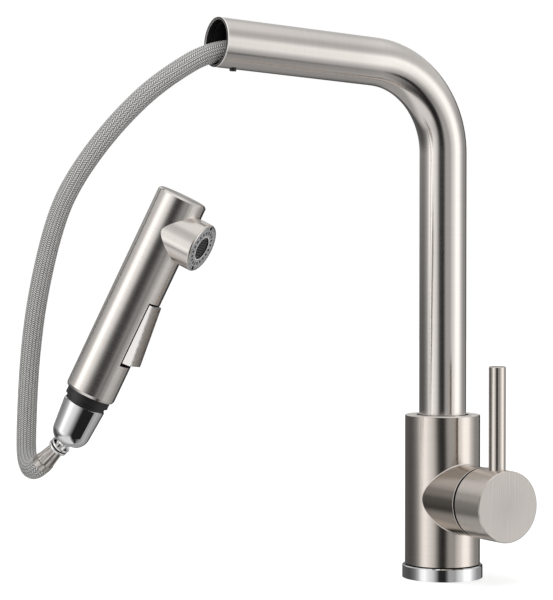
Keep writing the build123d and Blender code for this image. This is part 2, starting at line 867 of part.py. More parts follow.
with BuildPart() as grub_screw:
    with BuildSketch(rod_plane.offset(-stem_half - end_gap)):
        Circle(grub_radius)
    extrude(amount=-grub_length)
    with BuildSketch(rod_plane.offset(-stem_half - end_gap - grub_length)):
        RegularPolygon(radius=grub_hex_radius, side_count=6)
    extrude(amount=grub_hex_depth, mode=Mode.SUBTRACT)
grub_screw.part.label = "grub_screw"
export_step(grub_screw.part, "parts/grub_screw.step")

# Spout: a bent tube with a foot that turns in the valve block

with BuildPart() as spout_tube:
    with BuildLine():
        spout_route = FilletPolyline(
            (0, 0, foot_top), arm_crossing, mouth, radius=bend_radius
        )
    with BuildSketch(Plane.XY.offset(foot_top)):
        Circle(tube_radius)
        Circle(tube_bore, mode=Mode.SUBTRACT)
    sweep(path=spout_route)
    pin_origin = mouth - arm_along * pin_depth
    with BuildSketch(Plane(origin=pin_origin, x_dir=arm_along, z_dir=arm_down)):
        Circle(pin_radius + slip_gap)
    extrude(amount=2 * tube_radius, mode=Mode.SUBTRACT)
spout_tube.part.label = "spout_tube"
export_step(spout_tube.part, "parts/spout_tube.step")

with BuildPart() as swivel_foot:
    ring_bottom = tube_radius - 2 * o_ring_section - 2 * slip_gap
    with BuildSketch(riser_section):
        Polygon(*ring(foot_bore_radius, tube_radius, foot_bottom, foot_top), align=None)
        Polygon(*ring(foot_bore_radius, insert_radius, foot_top, foot_top + foot_spigot), align=None)
        for height in (lower_o_ring_height, upper_o_ring_height):
            groove_low = foot_bottom + height - o_ring_groove / 2
            Polygon(
                *ring(ring_bottom, tube_radius, groove_low, groove_low + o_ring_groove),
                align=None,
                mode=Mode.SUBTRACT,
            )
        snap_low = snap_level - snap_foot_groove / 2
        Polygon(
            *ring(
                socket_radius - snap_width / 2 - snap_room,
                tube_radius,
                snap_low,
                snap_low + snap_foot_groove,
            ),
            align=None,
            mode=Mode.SUBTRACT,
        )
    revolve(axis=riser_axis)
swivel_foot.part.label = "swivel_foot"
export_step(swivel_foot.part, "parts/swivel_foot.step")

with BuildPart() as foot_o_rings:
    with BuildSketch(riser_section):
        for height in (lower_o_ring_height, upper_o_ring_height):
            with Locations((tube_radius - o_ring_section - slip_gap / 2, foot_bottom + height)):
                Circle(o_ring_section)
    revolve(axis=riser_axis)
foot_o_rings.part.label = "foot_o_rings"
export_step(foot_o_rings.part, "parts/foot_o_rings.step")

# Black lining that guides the hose and takes the spray's collar, with its locking pin under the mouth

with BuildPart() as mouth_guide:
    guide_back = -guide_recess - guide_length
    lip_back = -guide_recess - guide_lip_depth
    with BuildSketch(arm_section):
        Polygon(
            (insert_radius - guide_lip_wall, -guide_recess),
            (insert_radius, -guide_recess),
            (insert_radius, guide_back),
            (guide_inner_radius, guide_back),
            (guide_mouth_radius, lip_back),
            (insert_radius - guide_lip_wall, lip_back),
            align=None,
        )
    revolve(axis=arm_axis)
    with BuildSketch(Plane(origin=pin_origin, x_dir=arm_along, z_dir=arm_down)):
        Circle(pin_radius + slip_gap)
    extrude(amount=2 * tube_radius, mode=Mode.SUBTRACT)
mouth_guide.part.label = "mouth_guide"
export_step(mouth_guide.part, "parts/mouth_guide.step")

with BuildPart() as guide_pin:
    pin_end = tube_radius + pin_proud
    with BuildSketch(Plane(origin=pin_origin, x_dir=arm_along, z_dir=arm_down).offset(pin_inner_reach)):
        Circle(pin_radius)
    extrude(amount=pin_end - pin_inner_reach)
guide_pin.part.label = "guide_pin"
export_step(guide_pin.part, "parts/guide_pin.step")

# Hose: fixed through the body and riser, then free from the arm to the spray

with BuildPart() as hose_lower:
    with BuildLine():
        lower_route = FilletPolyline(
            (0, 0, hose_joint_height),
            (0, 0, channel_top),
            (0, channel_back, channel_foot),
            (0, channel_back, hose_tail_top),
            radius=channel_bend,
        )
    with BuildSketch(Plane.XY.offset(hose_joint_height)):
        Circle(hose_radius)
    sweep(path=lower_route)
hose_lower.part.label = "hose_lower"
export_step(hose_lower.part, "parts/hose_lower.step")

with BuildPart() as hose_tail:
    tail_section = section((0, channel_back, 0), (1, 0, 0), (0, 0, 1))
    nut_top = hose_tail_bottom + tail_nut_height
    with BuildSketch(tail_section):
        Polygon(*ring(tail_bore_radius, tail_ferrule_radius, nut_top, hose_tail_top), align=None)
    revolve(axis=Axis((0, channel_back, 0), (0, 0, 1)))
    with BuildSketch(Plane(origin=(0, channel_back, hose_tail_bottom))):
        RegularPolygon(radius=tail_nut_radius, side_count=6)
        Circle(tail_bore_radius, mode=Mode.SUBTRACT)
    extrude(amount=tail_nut_height)
hose_tail.part.label = "hose_tail"
export_step(hose_tail.part, "parts/hose_tail.step")

with BuildPart() as hose_riser:
    with BuildLine():
        riser_route = FilletPolyline(
            (0, 0, hose_joint_height),
            arm_crossing,
            arm_crossing + arm_along * arm_stretch_start,
            radius=bend_radius,
        )
    with BuildSketch(Plane.XY.offset(hose_joint_height)):
        Circle(hose_radius)
    sweep(path=riser_route)
hose_riser.part.label = "hose_riser"
export_step(hose_riser.part, "parts/hose_riser.step")

with BuildPart() as hose_arm_stretch:
    with BuildSketch(Plane(origin=arm_crossing + arm_along * arm_stretch_start, z_dir=arm_along)):
        Circle(hose_radius)
    extrude(amount=arm_stretch_end - arm_stretch_start)
hose_arm_stretch.part.label = "hose_arm_stretch"
export_step(hose_arm_stretch.part, "parts/hose_arm_stretch.step")

free_points = [
    arm_crossing + arm_along * arm_stretch_end,
    arm_crossing + arm_along * mouth_straight_end,
    *[Vector(*point) for point in hose_route],
    ball_centre + fitting_along * fold_distance,
    ball_centre + fitting_along * fitting_end,
]
free_radii = corner_radii(free_points)

with BuildPart() as hose_free:
    with BuildLine() as free_route:
        FilletPolyline(*free_points, radius=free_radii)
    with BuildSketch(Plane(origin=free_points[0], z_dir=arm_along)):
        Circle(hose_radius)
    sweep(path=free_route.wires()[0])
hose_free.part.label = "hose_free"
export_step(hose_free.part, "parts/hose_free.step")
free_length = free_route.wires()[0].length
section_times_length = pi * hose_radius**2 * free_length
print("free hose: length", round(free_length, 1), "radii", [round(radius, 1) for radius in free_radii])
print("free hose: volume over section times length", hose_free.part.volume / section_times_length)

# Hose fitting: a ball with a flanged stem, and the crimped sleeve that holds the hose on it

with BuildPart() as ball_stud:
    ball_foot = sqrt(ball_radius**2 - stud_bore_radius**2)
    ball_neck = sqrt(ball_radius**2 - neck_radius**2)
    first_flange_end = neck_end + flange_width
    second_flange_start = first_flange_end + flange_groove
    second_flange_end = second_flange_start + flange_width
    with BuildSketch(fitting_section):
        with BuildLine():
            ThreePointArc((stud_bore_radius, -ball_foot), (ball_radius, 0), (neck_radius, ball_neck))
            Polyline(
                (neck_radius, ball_neck),
                (neck_radius, neck_end),
                (flange_radius, neck_end),
                (flange_radius, first_flange_end),
                (flange_groove_radius, first_flange_end),
                (flange_groove_radius, second_flange_start),
                (flange_radius, second_flange_start),
                (flange_radius, second_flange_end),
                (shank_radius, second_flange_end),
                (shank_radius, shank_end),
                (stud_bore_radius, shank_end),
                (stud_bore_radius, -ball_foot),
            )
        make_face()
        rims = [corner for corner in vertices() if abs(corner.X - flange_radius) < flange_edge]
        fillet(rims, radius=flange_edge)
    revolve(axis=fitting_axis)
ball_stud.part.label = "ball_stud"
export_step(ball_stud.part, "parts/ball_stud.step")

with BuildPart() as crimp_sleeve:
    sleeve_ends = [(sleeve_start, sleeve_narrow_radius), (band_start, sleeve_wide_radius)]
    for distance, radius in sleeve_ends:
        flutes = []
        for i in range(2 * sleeve_flutes):
            angle = radians(180 * i / sleeve_flutes)
            reach = radius - sleeve_flute_depth * (i % 2)
            flutes.append((reach * cos(angle), reach * sin(angle)))
        with BuildSketch(fitting_cross(distance)):
            Polygon(*flutes, align=None)
    loft(ruled=True)
    with BuildSketch(fitting_cross(band_start)):
        Circle(band_radius)
    extrude(amount=fitting_end - band_start)
    with BuildSketch(fitting_cross(sleeve_start)):
        Circle(shank_radius + slip_gap)
    extrude(amount=fitting_end - sleeve_start, mode=Mode.SUBTRACT)
crimp_sleeve.part.label = "crimp_sleeve"
export_step(crimp_sleeve.part, "parts/crimp_sleeve.step")

# Cup behind the ball, which tips with the spray and stays put when the spray turns

with BuildPart() as ball_seat:
    seat_start = inlet_end + 2 * end_gap
    seat_end = ball_position - ball_shoulder - 2 * end_gap
    bowl_rim = sqrt(ball_seat_radius**2 - (seat_end - ball_position) ** 2)
    bowl_floor = sqrt(ball_seat_radius**2 - seat_bore_radius**2)
    bowl_middle_radius = (bowl_rim + seat_bore_radius) / 2
    bowl_middle = sqrt(ball_seat_radius**2 - bowl_middle_radius**2)
    groove_start = seat_start + seat_ring_setback
    groove_radius = inlet_radius_outer - 2 * seat_ring_section - slip_gap
    with BuildSketch(spray_section):
        with BuildLine():
            ThreePointArc(
                (bowl_rim, seat_end),
                (bowl_middle_radius, ball_position - bowl_middle),
                (seat_bore_radius, ball_position - bowl_floor),
            )
            Polyline(
                (seat_bore_radius, ball_position - bowl_floor),
                (seat_bore_radius, seat_start),
                (inlet_radius_outer, seat_start),
                (inlet_radius_outer, groove_start),
                (groove_radius, groove_start),
                (groove_radius, groove_start + seat_ring_groove),
                (inlet_radius_outer, groove_start + seat_ring_groove),
                (inlet_radius_outer, seat_end),
                (bowl_rim, seat_end),
            )
        make_face()
    revolve(axis=spray_axis)
ball_seat.part.label = "ball_seat"
export_step(ball_seat.part, "parts/ball_seat.step")

with BuildPart() as seat_o_ring:
    with BuildSketch(spray_section):
        with Locations(
            (inlet_radius_outer - seat_ring_section - slip_gap / 2, groove_start + seat_ring_groove / 2)
        ):
            Circle(seat_ring_section)
    revolve(axis=spray_axis)
seat_o_ring.part.label = "seat_o_ring"
export_step(seat_o_ring.part, "parts/seat_o_ring.step")

# Dome nut: screws onto the spray's inlet and holds the ball in its spherical lip

with BuildPart() as dome_nut:
    lip = ball_position + ball_lip
    lip_radius = sqrt(ball_seat_radius**2 - ball_lip**2)
    shoulder = ball_position - ball_shoulder
    shoulder_radius = sqrt(ball_seat_radius**2 - ball_shoulder**2)
    dome_start = collar_end + end_gap
    with BuildSketch(spray_section):
        with BuildLine():
            Polyline(
                (dome_opening_radius, dome_end),
                (lip_radius, lip),
            )
            ThreePointArc(
                (lip_radius, lip), (ball_seat_radius, ball_position), (shoulder_radius, shoulder)
            )
            Polyline(
                (shoulder_radius, shoulder),
                (inlet_bore, shoulder),
                (inlet_bore, dome_start),
                (dome_wide_radius - dome_edge, dome_start),
                (dome_wide_radius, dome_start + dome_edge),
            )
            side_wall = Line(
                (dome_wide_radius, dome_start + dome_edge), (dome_shoulder_radius, dome_shoulder)
            )
            TangentArc(side_wall @ 1, (dome_nose_radius, dome_end), tangent=side_wall % 1)
            Line((dome_nose_radius, dome_end), (dome_opening_radius, dome_end))
        make_face()
    revolve(axis=spray_axis)
dome_nut.part.label = "dome_nut"
export_step(dome_nut.part, "parts/dome_nut.step")

# Collar that pushes into the mouth's lining when the spray is docked

with BuildPart() as dock_collar:
    flange_top = diverter_end + inlet_flange + end_gap
    with BuildSketch(spray_section):
        Polygon(
            (inlet_bore, flange_top),
            (insert_radius, flange_top),
            (insert_radius, spray_length),
            (collar_wide_radius, spray_length),
            (collar_wide_radius, collar_step_position),
            (collar_narrow_radius, collar_step_position),
            (collar_narrow_radius, collar_end),
            (inlet_bore, collar_end),
            align=None,
        )
    revolve(axis=spray_axis)
dock_collar.part.label = "dock_collar"
export_step(dock_collar.part, "parts/dock_collar.step")

# Spray's inlet with its check valve and filter

with BuildPart() as spray_inlet:
    with BuildSketch(spray_section):
        Polygon(
            (inlet_neck_radius, diverter_end + end_gap),
            (insert_radius, diverter_end + end_gap),
            (insert_radius, diverter_end + inlet_flange),
            (inlet_radius_outer, diverter_end + inlet_flange),
            (inlet_radius_outer, inlet_end),
            (valve_bore_radius, inlet_end),
            (valve_bore_radius, inlet_neck_end),
            (inlet_neck_radius, inlet_neck_end),
            align=None,
        )
    revolve(axis=spray_axis)
spray_inlet.part.label = "spray_inlet"
export_step(spray_inlet.part, "parts/spray_inlet.step")

with BuildPart() as check_valve:
    valve_start = inlet_neck_end + end_gap
    with BuildSketch(spray_section):
        Polygon(
            *ring(valve_bore, valve_bore_radius - slip_gap, valve_start, valve_start + valve_length),
            align=None,
        )
    revolve(axis=spray_axis)
check_valve.part.label = "check_valve"
export_step(check_valve.part, "parts/check_valve.step")

with BuildPart() as inlet_filter:
    with BuildSketch(spray_cross(valve_start + valve_length + end_gap)):
        Circle(valve_bore_radius - slip_gap)
        with Locations(*grid_inside(filter_hole_pitch, valve_bore_radius - slip_gap)):
            Circle(filter_hole_radius, mode=Mode.SUBTRACT)
    extrude(amount=filter_thickness)
inlet_filter.part.label = "inlet_filter"
export_step(inlet_filter.part, "parts/inlet_filter.step")

# Spray's shell, a tube with a hole for the nozzle and a slot for the selector

with BuildPart() as spray_shell:
    with BuildSketch(spray_section):
        Polygon(
            (tube_bore, end_cap_height),
            (tube_radius, end_cap_height),
            (tube_radius, spray_length - spray_end_bevel),
            (tube_radius - spray_end_edge, spray_length),
            (tube_bore, spray_length),
            align=None,
        )
    revolve(axis=spray_axis)
    with BuildSketch(nozzle_cross(0)):
        Circle(nozzle_bore_radius)
    extrude(amount=2 * tube_radius, mode=Mode.SUBTRACT)
    with BuildSketch(nozzle_cross(0)):
        with Locations((slot_middle - nozzle_position, 0)):
            Rectangle(slot_length, 2 * slot_half_width)
    extrude(amount=2 * tube_radius, mode=Mode.SUBTRACT)
spray_shell.part.label = "spray_shell"
export_step(spray_shell.part, "parts/spray_shell.step")

with BuildPart() as end_cap:
    with BuildSketch(spray_section):
        Polygon(
            (0, 0),
            (tube_radius - end_cap_edge, 0),
            (tube_radius, end_cap_edge),
            (tube_radius, end_cap_height),
            (insert_radius, end_cap_height),
            (insert_radius, end_cap_height + end_cap_spigot),
            (insert_radius - insert_wall, end_cap_height + end_cap_spigot),
            (insert_radius - insert_wall, end_cap_plate),
            (0, end_cap_plate),
            align=None,
        )
    revolve(axis=spray_axis)
end_cap.part.label = "end_cap"
export_step(end_cap.part, "parts/end_cap.step")

# Nozzle: the outer stub on its saddle, and the plastic body inside that splits the water

with BuildPart() as nozzle_housing:
    with BuildSketch(nozzle_section):
        Polygon(
            (0, 0),
            (nozzle_foot_radius, 0),
            (nozzle_rim_radius, nozzle_reach),
            (0, nozzle_reach),
            align=None,
        )
        fillet(vertices().group_by(Axis.Y)[-1].sort_by(Axis.X)[-1], radius=nozzle_rim_edge)
    revolve(axis=nozzle_axis)
    with BuildSketch(spray_cross(0)):
        Circle(tube_radius + end_gap)
    extrude(amount=spray_length, mode=Mode.SUBTRACT)
    with BuildSketch(nozzle_cross(0)):
        Circle(nozzle_bore_radius)
    extrude(amount=nozzle_reach, mode=Mode.SUBTRACT)
    with BuildSketch(nozzle_cross(face_seat)):
        Circle(face_seat_radius)
    extrude(amount=nozzle_reach - face_seat, mode=Mode.SUBTRACT)
nozzle_housing.part.label = "nozzle_housing"
export_step(nozzle_housing.part, "parts/nozzle_housing.step")

with BuildPart() as nozzle_body:
    body_front = face_seat - 2 * end_gap
    with BuildSketch(nozzle_section):
        Polygon(*ring(0, nozzle_bore_radius - slip_gap, nozzle_body_foot, body_front), align=None)
        Polygon(
            *ring(0, feed_chamber_radius, feed_chamber_floor, aerator_seat), align=None, mode=Mode.SUBTRACT
        )
        Polygon(
            *ring(0, aerator_radius + slip_gap, aerator_seat, body_front), align=None, mode=Mode.SUBTRACT
        )
        Polygon(
            *ring(ring_channel_inner, ring_channel_outer, ring_channel_floor, body_front),
            align=None,
            mode=Mode.SUBTRACT,
        )
    revolve(axis=nozzle_axis)
    with BuildSketch(spray_cross(nozzle_position)):
        with Locations((aerator_feed_rise, 0)):
            Circle(feed_bore_radius)
    extrude(amount=nozzle_bore_radius, mode=Mode.SUBTRACT)
    aerator_feed_start = nozzle_position + nozzle_bore_radius - feed_seat_depth
    with BuildSketch(spray_cross(aerator_feed_start)):
        with Locations((aerator_feed_rise, 0)):
            Circle(feed_outer_radius + slip_gap)
    extrude(amount=nozzle_bore_radius, mode=Mode.SUBTRACT)
    channel_middle = (ring_channel_inner + ring_channel_outer) / 2
    channel_entry = nozzle_position + sqrt(channel_middle**2 - spray_feed_side**2)
    with BuildSketch(spray_cross(channel_entry)):
        with Locations((spray_feed_top, spray_feed_side)):
            Circle(feed_bore_radius)
    extrude(amount=nozzle_bore_radius, mode=Mode.SUBTRACT)
    with BuildSketch(spray_cross(spray_feed_start)):
        with Locations((spray_feed_top, spray_feed_side)):
            Circle(feed_outer_radius + slip_gap)
    extrude(amount=nozzle_bore_radius, mode=Mode.SUBTRACT)
nozzle_body.part.label = "nozzle_body"
export_step(nozzle_body.part, "parts/nozzle_body.step")

with BuildPart() as spray_face:
    with BuildSketch(nozzle_cross(face_seat)):
        Circle(face_seat_radius - slip_gap)
        Circle(aerator_radius + slip_gap, mode=Mode.SUBTRACT)
        slot_reach = slot_outer_radius - slot_inner_radius
        with PolarLocations((slot_inner_radius + slot_outer_radius) / 2, slot_count):
            Rectangle(slot_reach, slot_width, mode=Mode.SUBTRACT)
        with PolarLocations(face_seat_radius - face_notch_depth / 2, 2):
            Rectangle(face_notch_depth, face_notch_width, mode=Mode.SUBTRACT)
    extrude(amount=nozzle_reach - face_recess - face_seat)
spray_face.part.label = "spray_face"
export_step(spray_face.part, "parts/spray_face.step")

with BuildPart() as nozzle_ring:
    ring_front = face_seat - end_gap
    with BuildSketch(nozzle_section):
        Polygon(
            *ring(
                ring_channel_inner + slip_gap,
                ring_channel_outer - slip_gap,
                ring_front - nozzle_ring_height,
                ring_front,
            ),
            align=None,
        )
    revolve(axis=nozzle_axis)
nozzle_ring.part.label = "nozzle_ring"
export_step(nozzle_ring.part, "parts/nozzle_ring.step")

aerator_bore = aerator_radius - aerator_wall
aerator_front = nozzle_reach - aerator_recess
mesh_front = aerator_front - mesh_recess

with BuildPart() as aerator_housing:
    with BuildSketch(nozzle_section):
        Polygon(
            (aerator_bore - aerator_ledge, aerator_seat + end_gap),
            (aerator_radius, aerator_seat + end_gap),
            (aerator_radius, aerator_front),
            (aerator_bore, aerator_front),
            (aerator_bore, aerator_seat + aerator_ledge),
            (aerator_bore - aerator_ledge, aerator_seat + aerator_ledge),
            align=None,
        )
    revolve(axis=nozzle_axis)
aerator_housing.part.label = "aerator_housing"
export_step(aerator_housing.part, "parts/aerator_housing.step")

with BuildPart() as aerator_insert:
    insert_start = aerator_seat + aerator_ledge + end_gap
    with BuildSketch(nozzle_cross(insert_start)):
        Circle(aerator_bore - slip_gap)
        hole_rings = int((aerator_bore - 2 * aerator_hole_radius) / aerator_hole_pitch)
        for hole_ring in range(1, hole_rings + 1):
            with PolarLocations(hole_ring * aerator_hole_pitch, hole_ring * aerator_hole_ring):
                Circle(aerator_hole_radius, mode=Mode.SUBTRACT)
    extrude(amount=mesh_front - mesh_thickness - end_gap - insert_start)
aerator_insert.part.label = "aerator_insert"
export_step(aerator_insert.part, "parts/aerator_insert.step")

with BuildPart() as aerator_mesh:
    mesh_radius = aerator_bore - slip_gap
    with BuildSketch(nozzle_cross(mesh_front - mesh_thickness)):
        Circle(mesh_radius)
        with Locations(*grid_inside(mesh_pitch, mesh_radius)):
            Rectangle(mesh_hole, mesh_hole, mode=Mode.SUBTRACT)
    extrude(amount=mesh_thickness)
aerator_mesh.part.label = "aerator_mesh"
export_step(aerator_mesh.part, "parts/aerator_mesh.step")

# Diverter: a block with a pocket for the rocker, a bore for the plunger, and a port to each feed

with BuildPart() as diverter_body:
    with BuildSketch(spray_cross(diverter_start)):
        Circle(insert_radius)
    extrude(amount=diverter_end - diverter_start)
    with BuildSketch(nozzle_cross(pocket_floor)):
        with Locations((slot_middle - nozzle_position, 0)):
            Rectangle(pocket_length, 2 * pocket_half_width)
    extrude(amount=tube_radius, mode=Mode.SUBTRACT)
    with BuildSketch(nozzle_cross(0)):
        finger_swing = finger_reach * sin(tilt)
        finger_opening = 2 * (finger_swing + finger_tip_radius + finger_end_room)
        with Locations((slot_middle - nozzle_position, 0)):
            Rectangle(finger_opening, 2 * (finger_half_width + finger_side_room))
    extrude(amount=pocket_floor, mode=Mode.SUBTRACT)
    with BuildSketch(spray_cross(plunger_bore_start)):
        Circle(plunger_radius + running_gap)
    extrude(amount=diverter_end - plunger_bore_start, mode=Mode.SUBTRACT)
    with BuildSketch(spray_cross(diverter_start)):
        with Locations((aerator_feed_rise, 0)):
            Circle(feed_bore_radius)
    extrude(amount=plunger_bore_start - diverter_start, mode=Mode.SUBTRACT)
    with BuildSketch(spray_cross(diverter_start)):
        with Locations((spray_feed_bottom, spray_feed_side)):
            Circle(feed_bore_radius)
    extrude(amount=side_port_position - diverter_start, mode=Mode.SUBTRACT)
    with BuildSketch(spray_cross(diverter_start)):
        with Locations((aerator_feed_rise, 0), (spray_feed_bottom, spray_feed_side)):
            Circle(feed_outer_radius + slip_gap)
    extrude(amount=feed_seat_depth, mode=Mode.SUBTRACT)
    port_way = nozzle_along * spray_feed_bottom + spray_side * spray_feed_side
    port_start = spray_top + spray_along * (side_port_position - side_port_radius)
    with BuildSketch(Plane(origin=port_start, x_dir=spray_along, z_dir=port_way)):
        Circle(side_port_radius)
    extrude(amount=port_way.length, mode=Mode.SUBTRACT)
    with BuildSketch(spray_profile):
        with Locations((slot_middle, rocker_pivot_height)):
            Circle(rocker_pin_radius + slip_gap)
    extrude(amount=rocker_pin_length / 2 + end_gap, both=True, mode=Mode.SUBTRACT)
diverter_body.part.label = "diverter_body"
export_step(diverter_body.part, "parts/diverter_body.step")

feed_end = diverter_start + feed_seat_depth - end_gap

with BuildPart() as aerator_feed:
    with BuildSketch(spray_cross(aerator_feed_start + end_gap)):
        with Locations((aerator_feed_rise, 0)):
            Circle(feed_outer_radius)
            Circle(feed_bore_radius, mode=Mode.SUBTRACT)
    extrude(amount=feed_end - aerator_feed_start - end_gap)
aerator_feed.part.label = "aerator_feed"
export_step(aerator_feed.part, "parts/aerator_feed.step")

with BuildPart() as spray_feed:
    feed_start = spray_feed_start + end_gap
    feed_stops = [
        (feed_start, spray_feed_top),
        (feed_start + 2 * feed_outer_radius + feed_seat_depth, spray_feed_top),
        (diverter_start - 2 * feed_outer_radius, spray_feed_bottom),
        (feed_end, spray_feed_bottom),
    ]
    feed_points = [
        spray_top + spray_along * position + nozzle_along * height + spray_side * spray_feed_side
        for position, height in feed_stops
    ]
    with BuildLine() as feed_route:
        FilletPolyline(*feed_points, radius=2 * feed_outer_radius)
    with BuildSketch(Plane(origin=feed_points[0], x_dir=nozzle_along, z_dir=spray_along)):
        Circle(feed_outer_radius)
        Circle(feed_bore_radius, mode=Mode.SUBTRACT)
    sweep(path=feed_route.wires()[0])
spray_feed.part.label = "spray_feed"
export_step(spray_feed.part, "parts/spray_feed.step")

# Selector: a seesaw on its pin, whose finger shifts the plunger

with BuildPart() as rocker_pin:
    with BuildSketch(spray_profile):
        with Locations((slot_middle, rocker_pivot_height)):
            Circle(rocker_pin_radius)
    extrude(amount=rocker_pin_length / 2, both=True)
rocker_pin.part.label = "rocker_pin"
export_step(rocker_pin.part, "parts/rocker_pin.step")

with BuildPart() as selector_rocker:
    face_height = rocker_top - rocker_pivot_height
    underside = rocker_underside - rocker_pivot_height
    with BuildSketch(rocker_profile):
        Polygon(
            *ring(-rocker_length / 2, rocker_length / 2, underside, face_height), align=None
        )
    extrude(amount=rocker_half_width, both=True)
    rocker_face = selector_rocker.faces().sort_by(Axis(rocker_pivot, nozzle_along))[-1]
    chamfer(rocker_face.edges(), length=rocker_edge)
    with BuildSketch(rocker_profile):
        Circle(rocker_boss_radius)
        Polygon(*ring(-rocker_boss_radius, rocker_boss_radius, 0, underside), align=None)
    extrude(amount=rocker_half_width, both=True)
    with BuildSketch(rocker_profile):
        Polygon(*ring(-finger_web / 2, finger_web / 2, -finger_reach, 0), align=None)
        with Locations((0, -finger_reach)):
            Circle(finger_tip_radius)
    extrude(amount=finger_half_width, both=True)
    with BuildSketch(rocker_profile):
        Circle(rocker_pin_radius + running_gap)
    extrude(amount=rocker_half_width, both=True, mode=Mode.SUBTRACT)
selector_rocker.part.label = "selector_rocker"
export_step(selector_rocker.part, "parts/selector_rocker.step")

ring_groove_bottom = plunger_radius - 2 * plunger_ring_section - 2 * slip_gap
plunger_ring_places = [plunger_start + plunger_ring_inset, plunger_end - plunger_ring_inset]

with BuildPart() as diverter_plunger:
    with BuildSketch(spray_section):
        Polygon(*ring(0, plunger_radius, plunger_start, plunger_end), align=None)
        for place in plunger_ring_places:
            Polygon(
                *ring(
                    ring_groove_bottom,
                    plunger_radius,
                    place - plunger_ring_groove / 2,
                    place + plunger_ring_groove / 2,
                ),
                align=None,
                mode=Mode.SUBTRACT,
            )
    revolve(axis=spray_axis)
    tip_groove = 2 * (finger_tip_radius + finger_tip_room)
    with BuildSketch(nozzle_cross(finger_tip_height - finger_tip_radius - finger_tip_room)):
        with Locations((finger_tip_position - nozzle_position, 0)):
            Rectangle(tip_groove, 2 * plunger_radius)
    extrude(amount=plunger_radius, mode=Mode.SUBTRACT)
diverter_plunger.part.label = "diverter_plunger"
export_step(diverter_plunger.part, "parts/diverter_plunger.step")

with BuildPart() as plunger_o_rings:
    with BuildSketch(spray_section):
        for place in plunger_ring_places:
            with Locations((plunger_radius - plunger_ring_section - slip_gap, place)):
                Circle(plunger_ring_section)
    revolve(axis=spray_axis)
plunger_o_rings.part.label = "plunger_o_rings"
export_step(plunger_o_rings.part, "parts/plunger_o_rings.step")
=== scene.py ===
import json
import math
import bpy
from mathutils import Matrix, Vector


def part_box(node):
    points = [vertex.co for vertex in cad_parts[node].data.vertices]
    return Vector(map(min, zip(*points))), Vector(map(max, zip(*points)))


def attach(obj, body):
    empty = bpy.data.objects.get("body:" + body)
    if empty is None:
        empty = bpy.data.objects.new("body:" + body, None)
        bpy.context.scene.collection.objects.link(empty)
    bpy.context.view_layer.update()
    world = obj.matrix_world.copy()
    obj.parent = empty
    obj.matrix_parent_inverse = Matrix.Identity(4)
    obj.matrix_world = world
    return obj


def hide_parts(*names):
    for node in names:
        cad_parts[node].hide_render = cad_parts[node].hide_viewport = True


bl_info = {
    "name": "Pull-out mixer tap",
    "version": (1, 0, 0),
    "blender": (4, 5, 0),
    "location": "3D View > Sidebar > Mixer Tap",
    "description": "Gives the packed mixer tap its braided hose, metals, plastics, light and camera",
    "category": "Object",
}

import bpy
from bpy.props import FloatProperty, FloatVectorProperty, IntProperty, PointerProperty
from mathutils import Matrix, Vector

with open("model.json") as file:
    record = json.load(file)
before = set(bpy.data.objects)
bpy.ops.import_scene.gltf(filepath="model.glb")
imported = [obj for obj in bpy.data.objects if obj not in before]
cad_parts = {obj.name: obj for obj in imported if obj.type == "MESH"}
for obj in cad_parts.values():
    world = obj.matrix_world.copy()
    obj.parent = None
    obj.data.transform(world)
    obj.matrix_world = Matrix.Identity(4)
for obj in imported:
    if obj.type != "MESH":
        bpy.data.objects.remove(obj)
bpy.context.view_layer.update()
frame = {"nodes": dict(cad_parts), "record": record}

# Lines and centres of the tap, in metres, as the CAD model has them
RISER_ALONG = Vector((0, 0, 1))
LEVER_ALONG = Vector((0, -1, 0))
LEVER_CENTRE = Vector((0, 0, 0.0518))
ROD_CENTRE = Vector((0, -0.059, 0))
ARM_CROSSING = Vector((0, 0, 0.324))
ARM_ALONG = Vector((-math.cos(math.radians(3.3)), 0, math.sin(math.radians(3.3))))
ARM_REACH = 0.165  # from the crossing to the mouth
BEND_RADIUS = 0.056
BEND_CENTRE = Vector((-0.056, 0, 0.2711))
SPRAY_TOP = Vector((-0.20161, -0.02840, 0.23998))
SPRAY_ALONG = Vector((-0.3350, 0.2825, -0.8989)).normalized()
NOZZLE_FACING = Vector((0.5425, -0.7222, -0.4292))
NOZZLE_ALONG = (NOZZLE_FACING - SPRAY_ALONG * NOZZLE_FACING.dot(SPRAY_ALONG)).normalized()
NOZZLE_CENTRE = SPRAY_TOP + SPRAY_ALONG * 0.0218
SPRAY_SIDE = SPRAY_ALONG.cross(NOZZLE_ALONG)
SELECTOR_CENTRE = SPRAY_TOP + SPRAY_ALONG * 0.0835
BALL_CENTRE = SPRAY_TOP + SPRAY_ALONG * 0.155
FITTING_ALONG = Vector((-0.3755, 0.6494, -0.6613)).normalized()

# Where one finish ends and the next starts on a CAD piece
BODY_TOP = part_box("body_shell")[1][2]
SEAM_START = 0.02402  # from the riser's axis, where the painted highlight on the seam round the boss starts
BOSS_START = 0.02425  # and where the boss's own finish does
BODY_OPENING = 0.0168  # the shadow round the spout's foot ends at this radius
BOSS_RADIUS = 0.0220
BOSS_RIM = -0.04308  # along Y, where the boss's rounded front starts
RIM_WIDTH = 0.0005  # of the painted highlight round that front
BUFFED_WIDTH = 0.0010  # of the buffed edge round the mouth, which carries a painted highlight
CUT_DEPTH = 0.00015  # a flat cut end is painted this deep
RING_BORE = 0.0236  # inside this radius the base ring is in the body's shadow
LIP_RADIUS = 0.01432  # the mouth's black lip lies outside this radius
# the painted shade in and round the selector's slot reaches these far from its middle
SLOT_HALF_LENGTH = 0.0202
SLOT_HALF_WIDTH = 0.00758
SELECTOR_HALF_WIDTH = 0.0068
FACE_FRONT = 0.02464  # the grey face's front, from the spray's axis
RIM_FRONT = FACE_FRONT + 0.00006  # the aerator's rim stands out a little further
FACE_DEPTH = 0.00012  # what lies deeper than this under a front is in shadow
GROOVE_RADIUS = 0.0056  # the groove between the ball stud's collars is painted black, as shade, within this
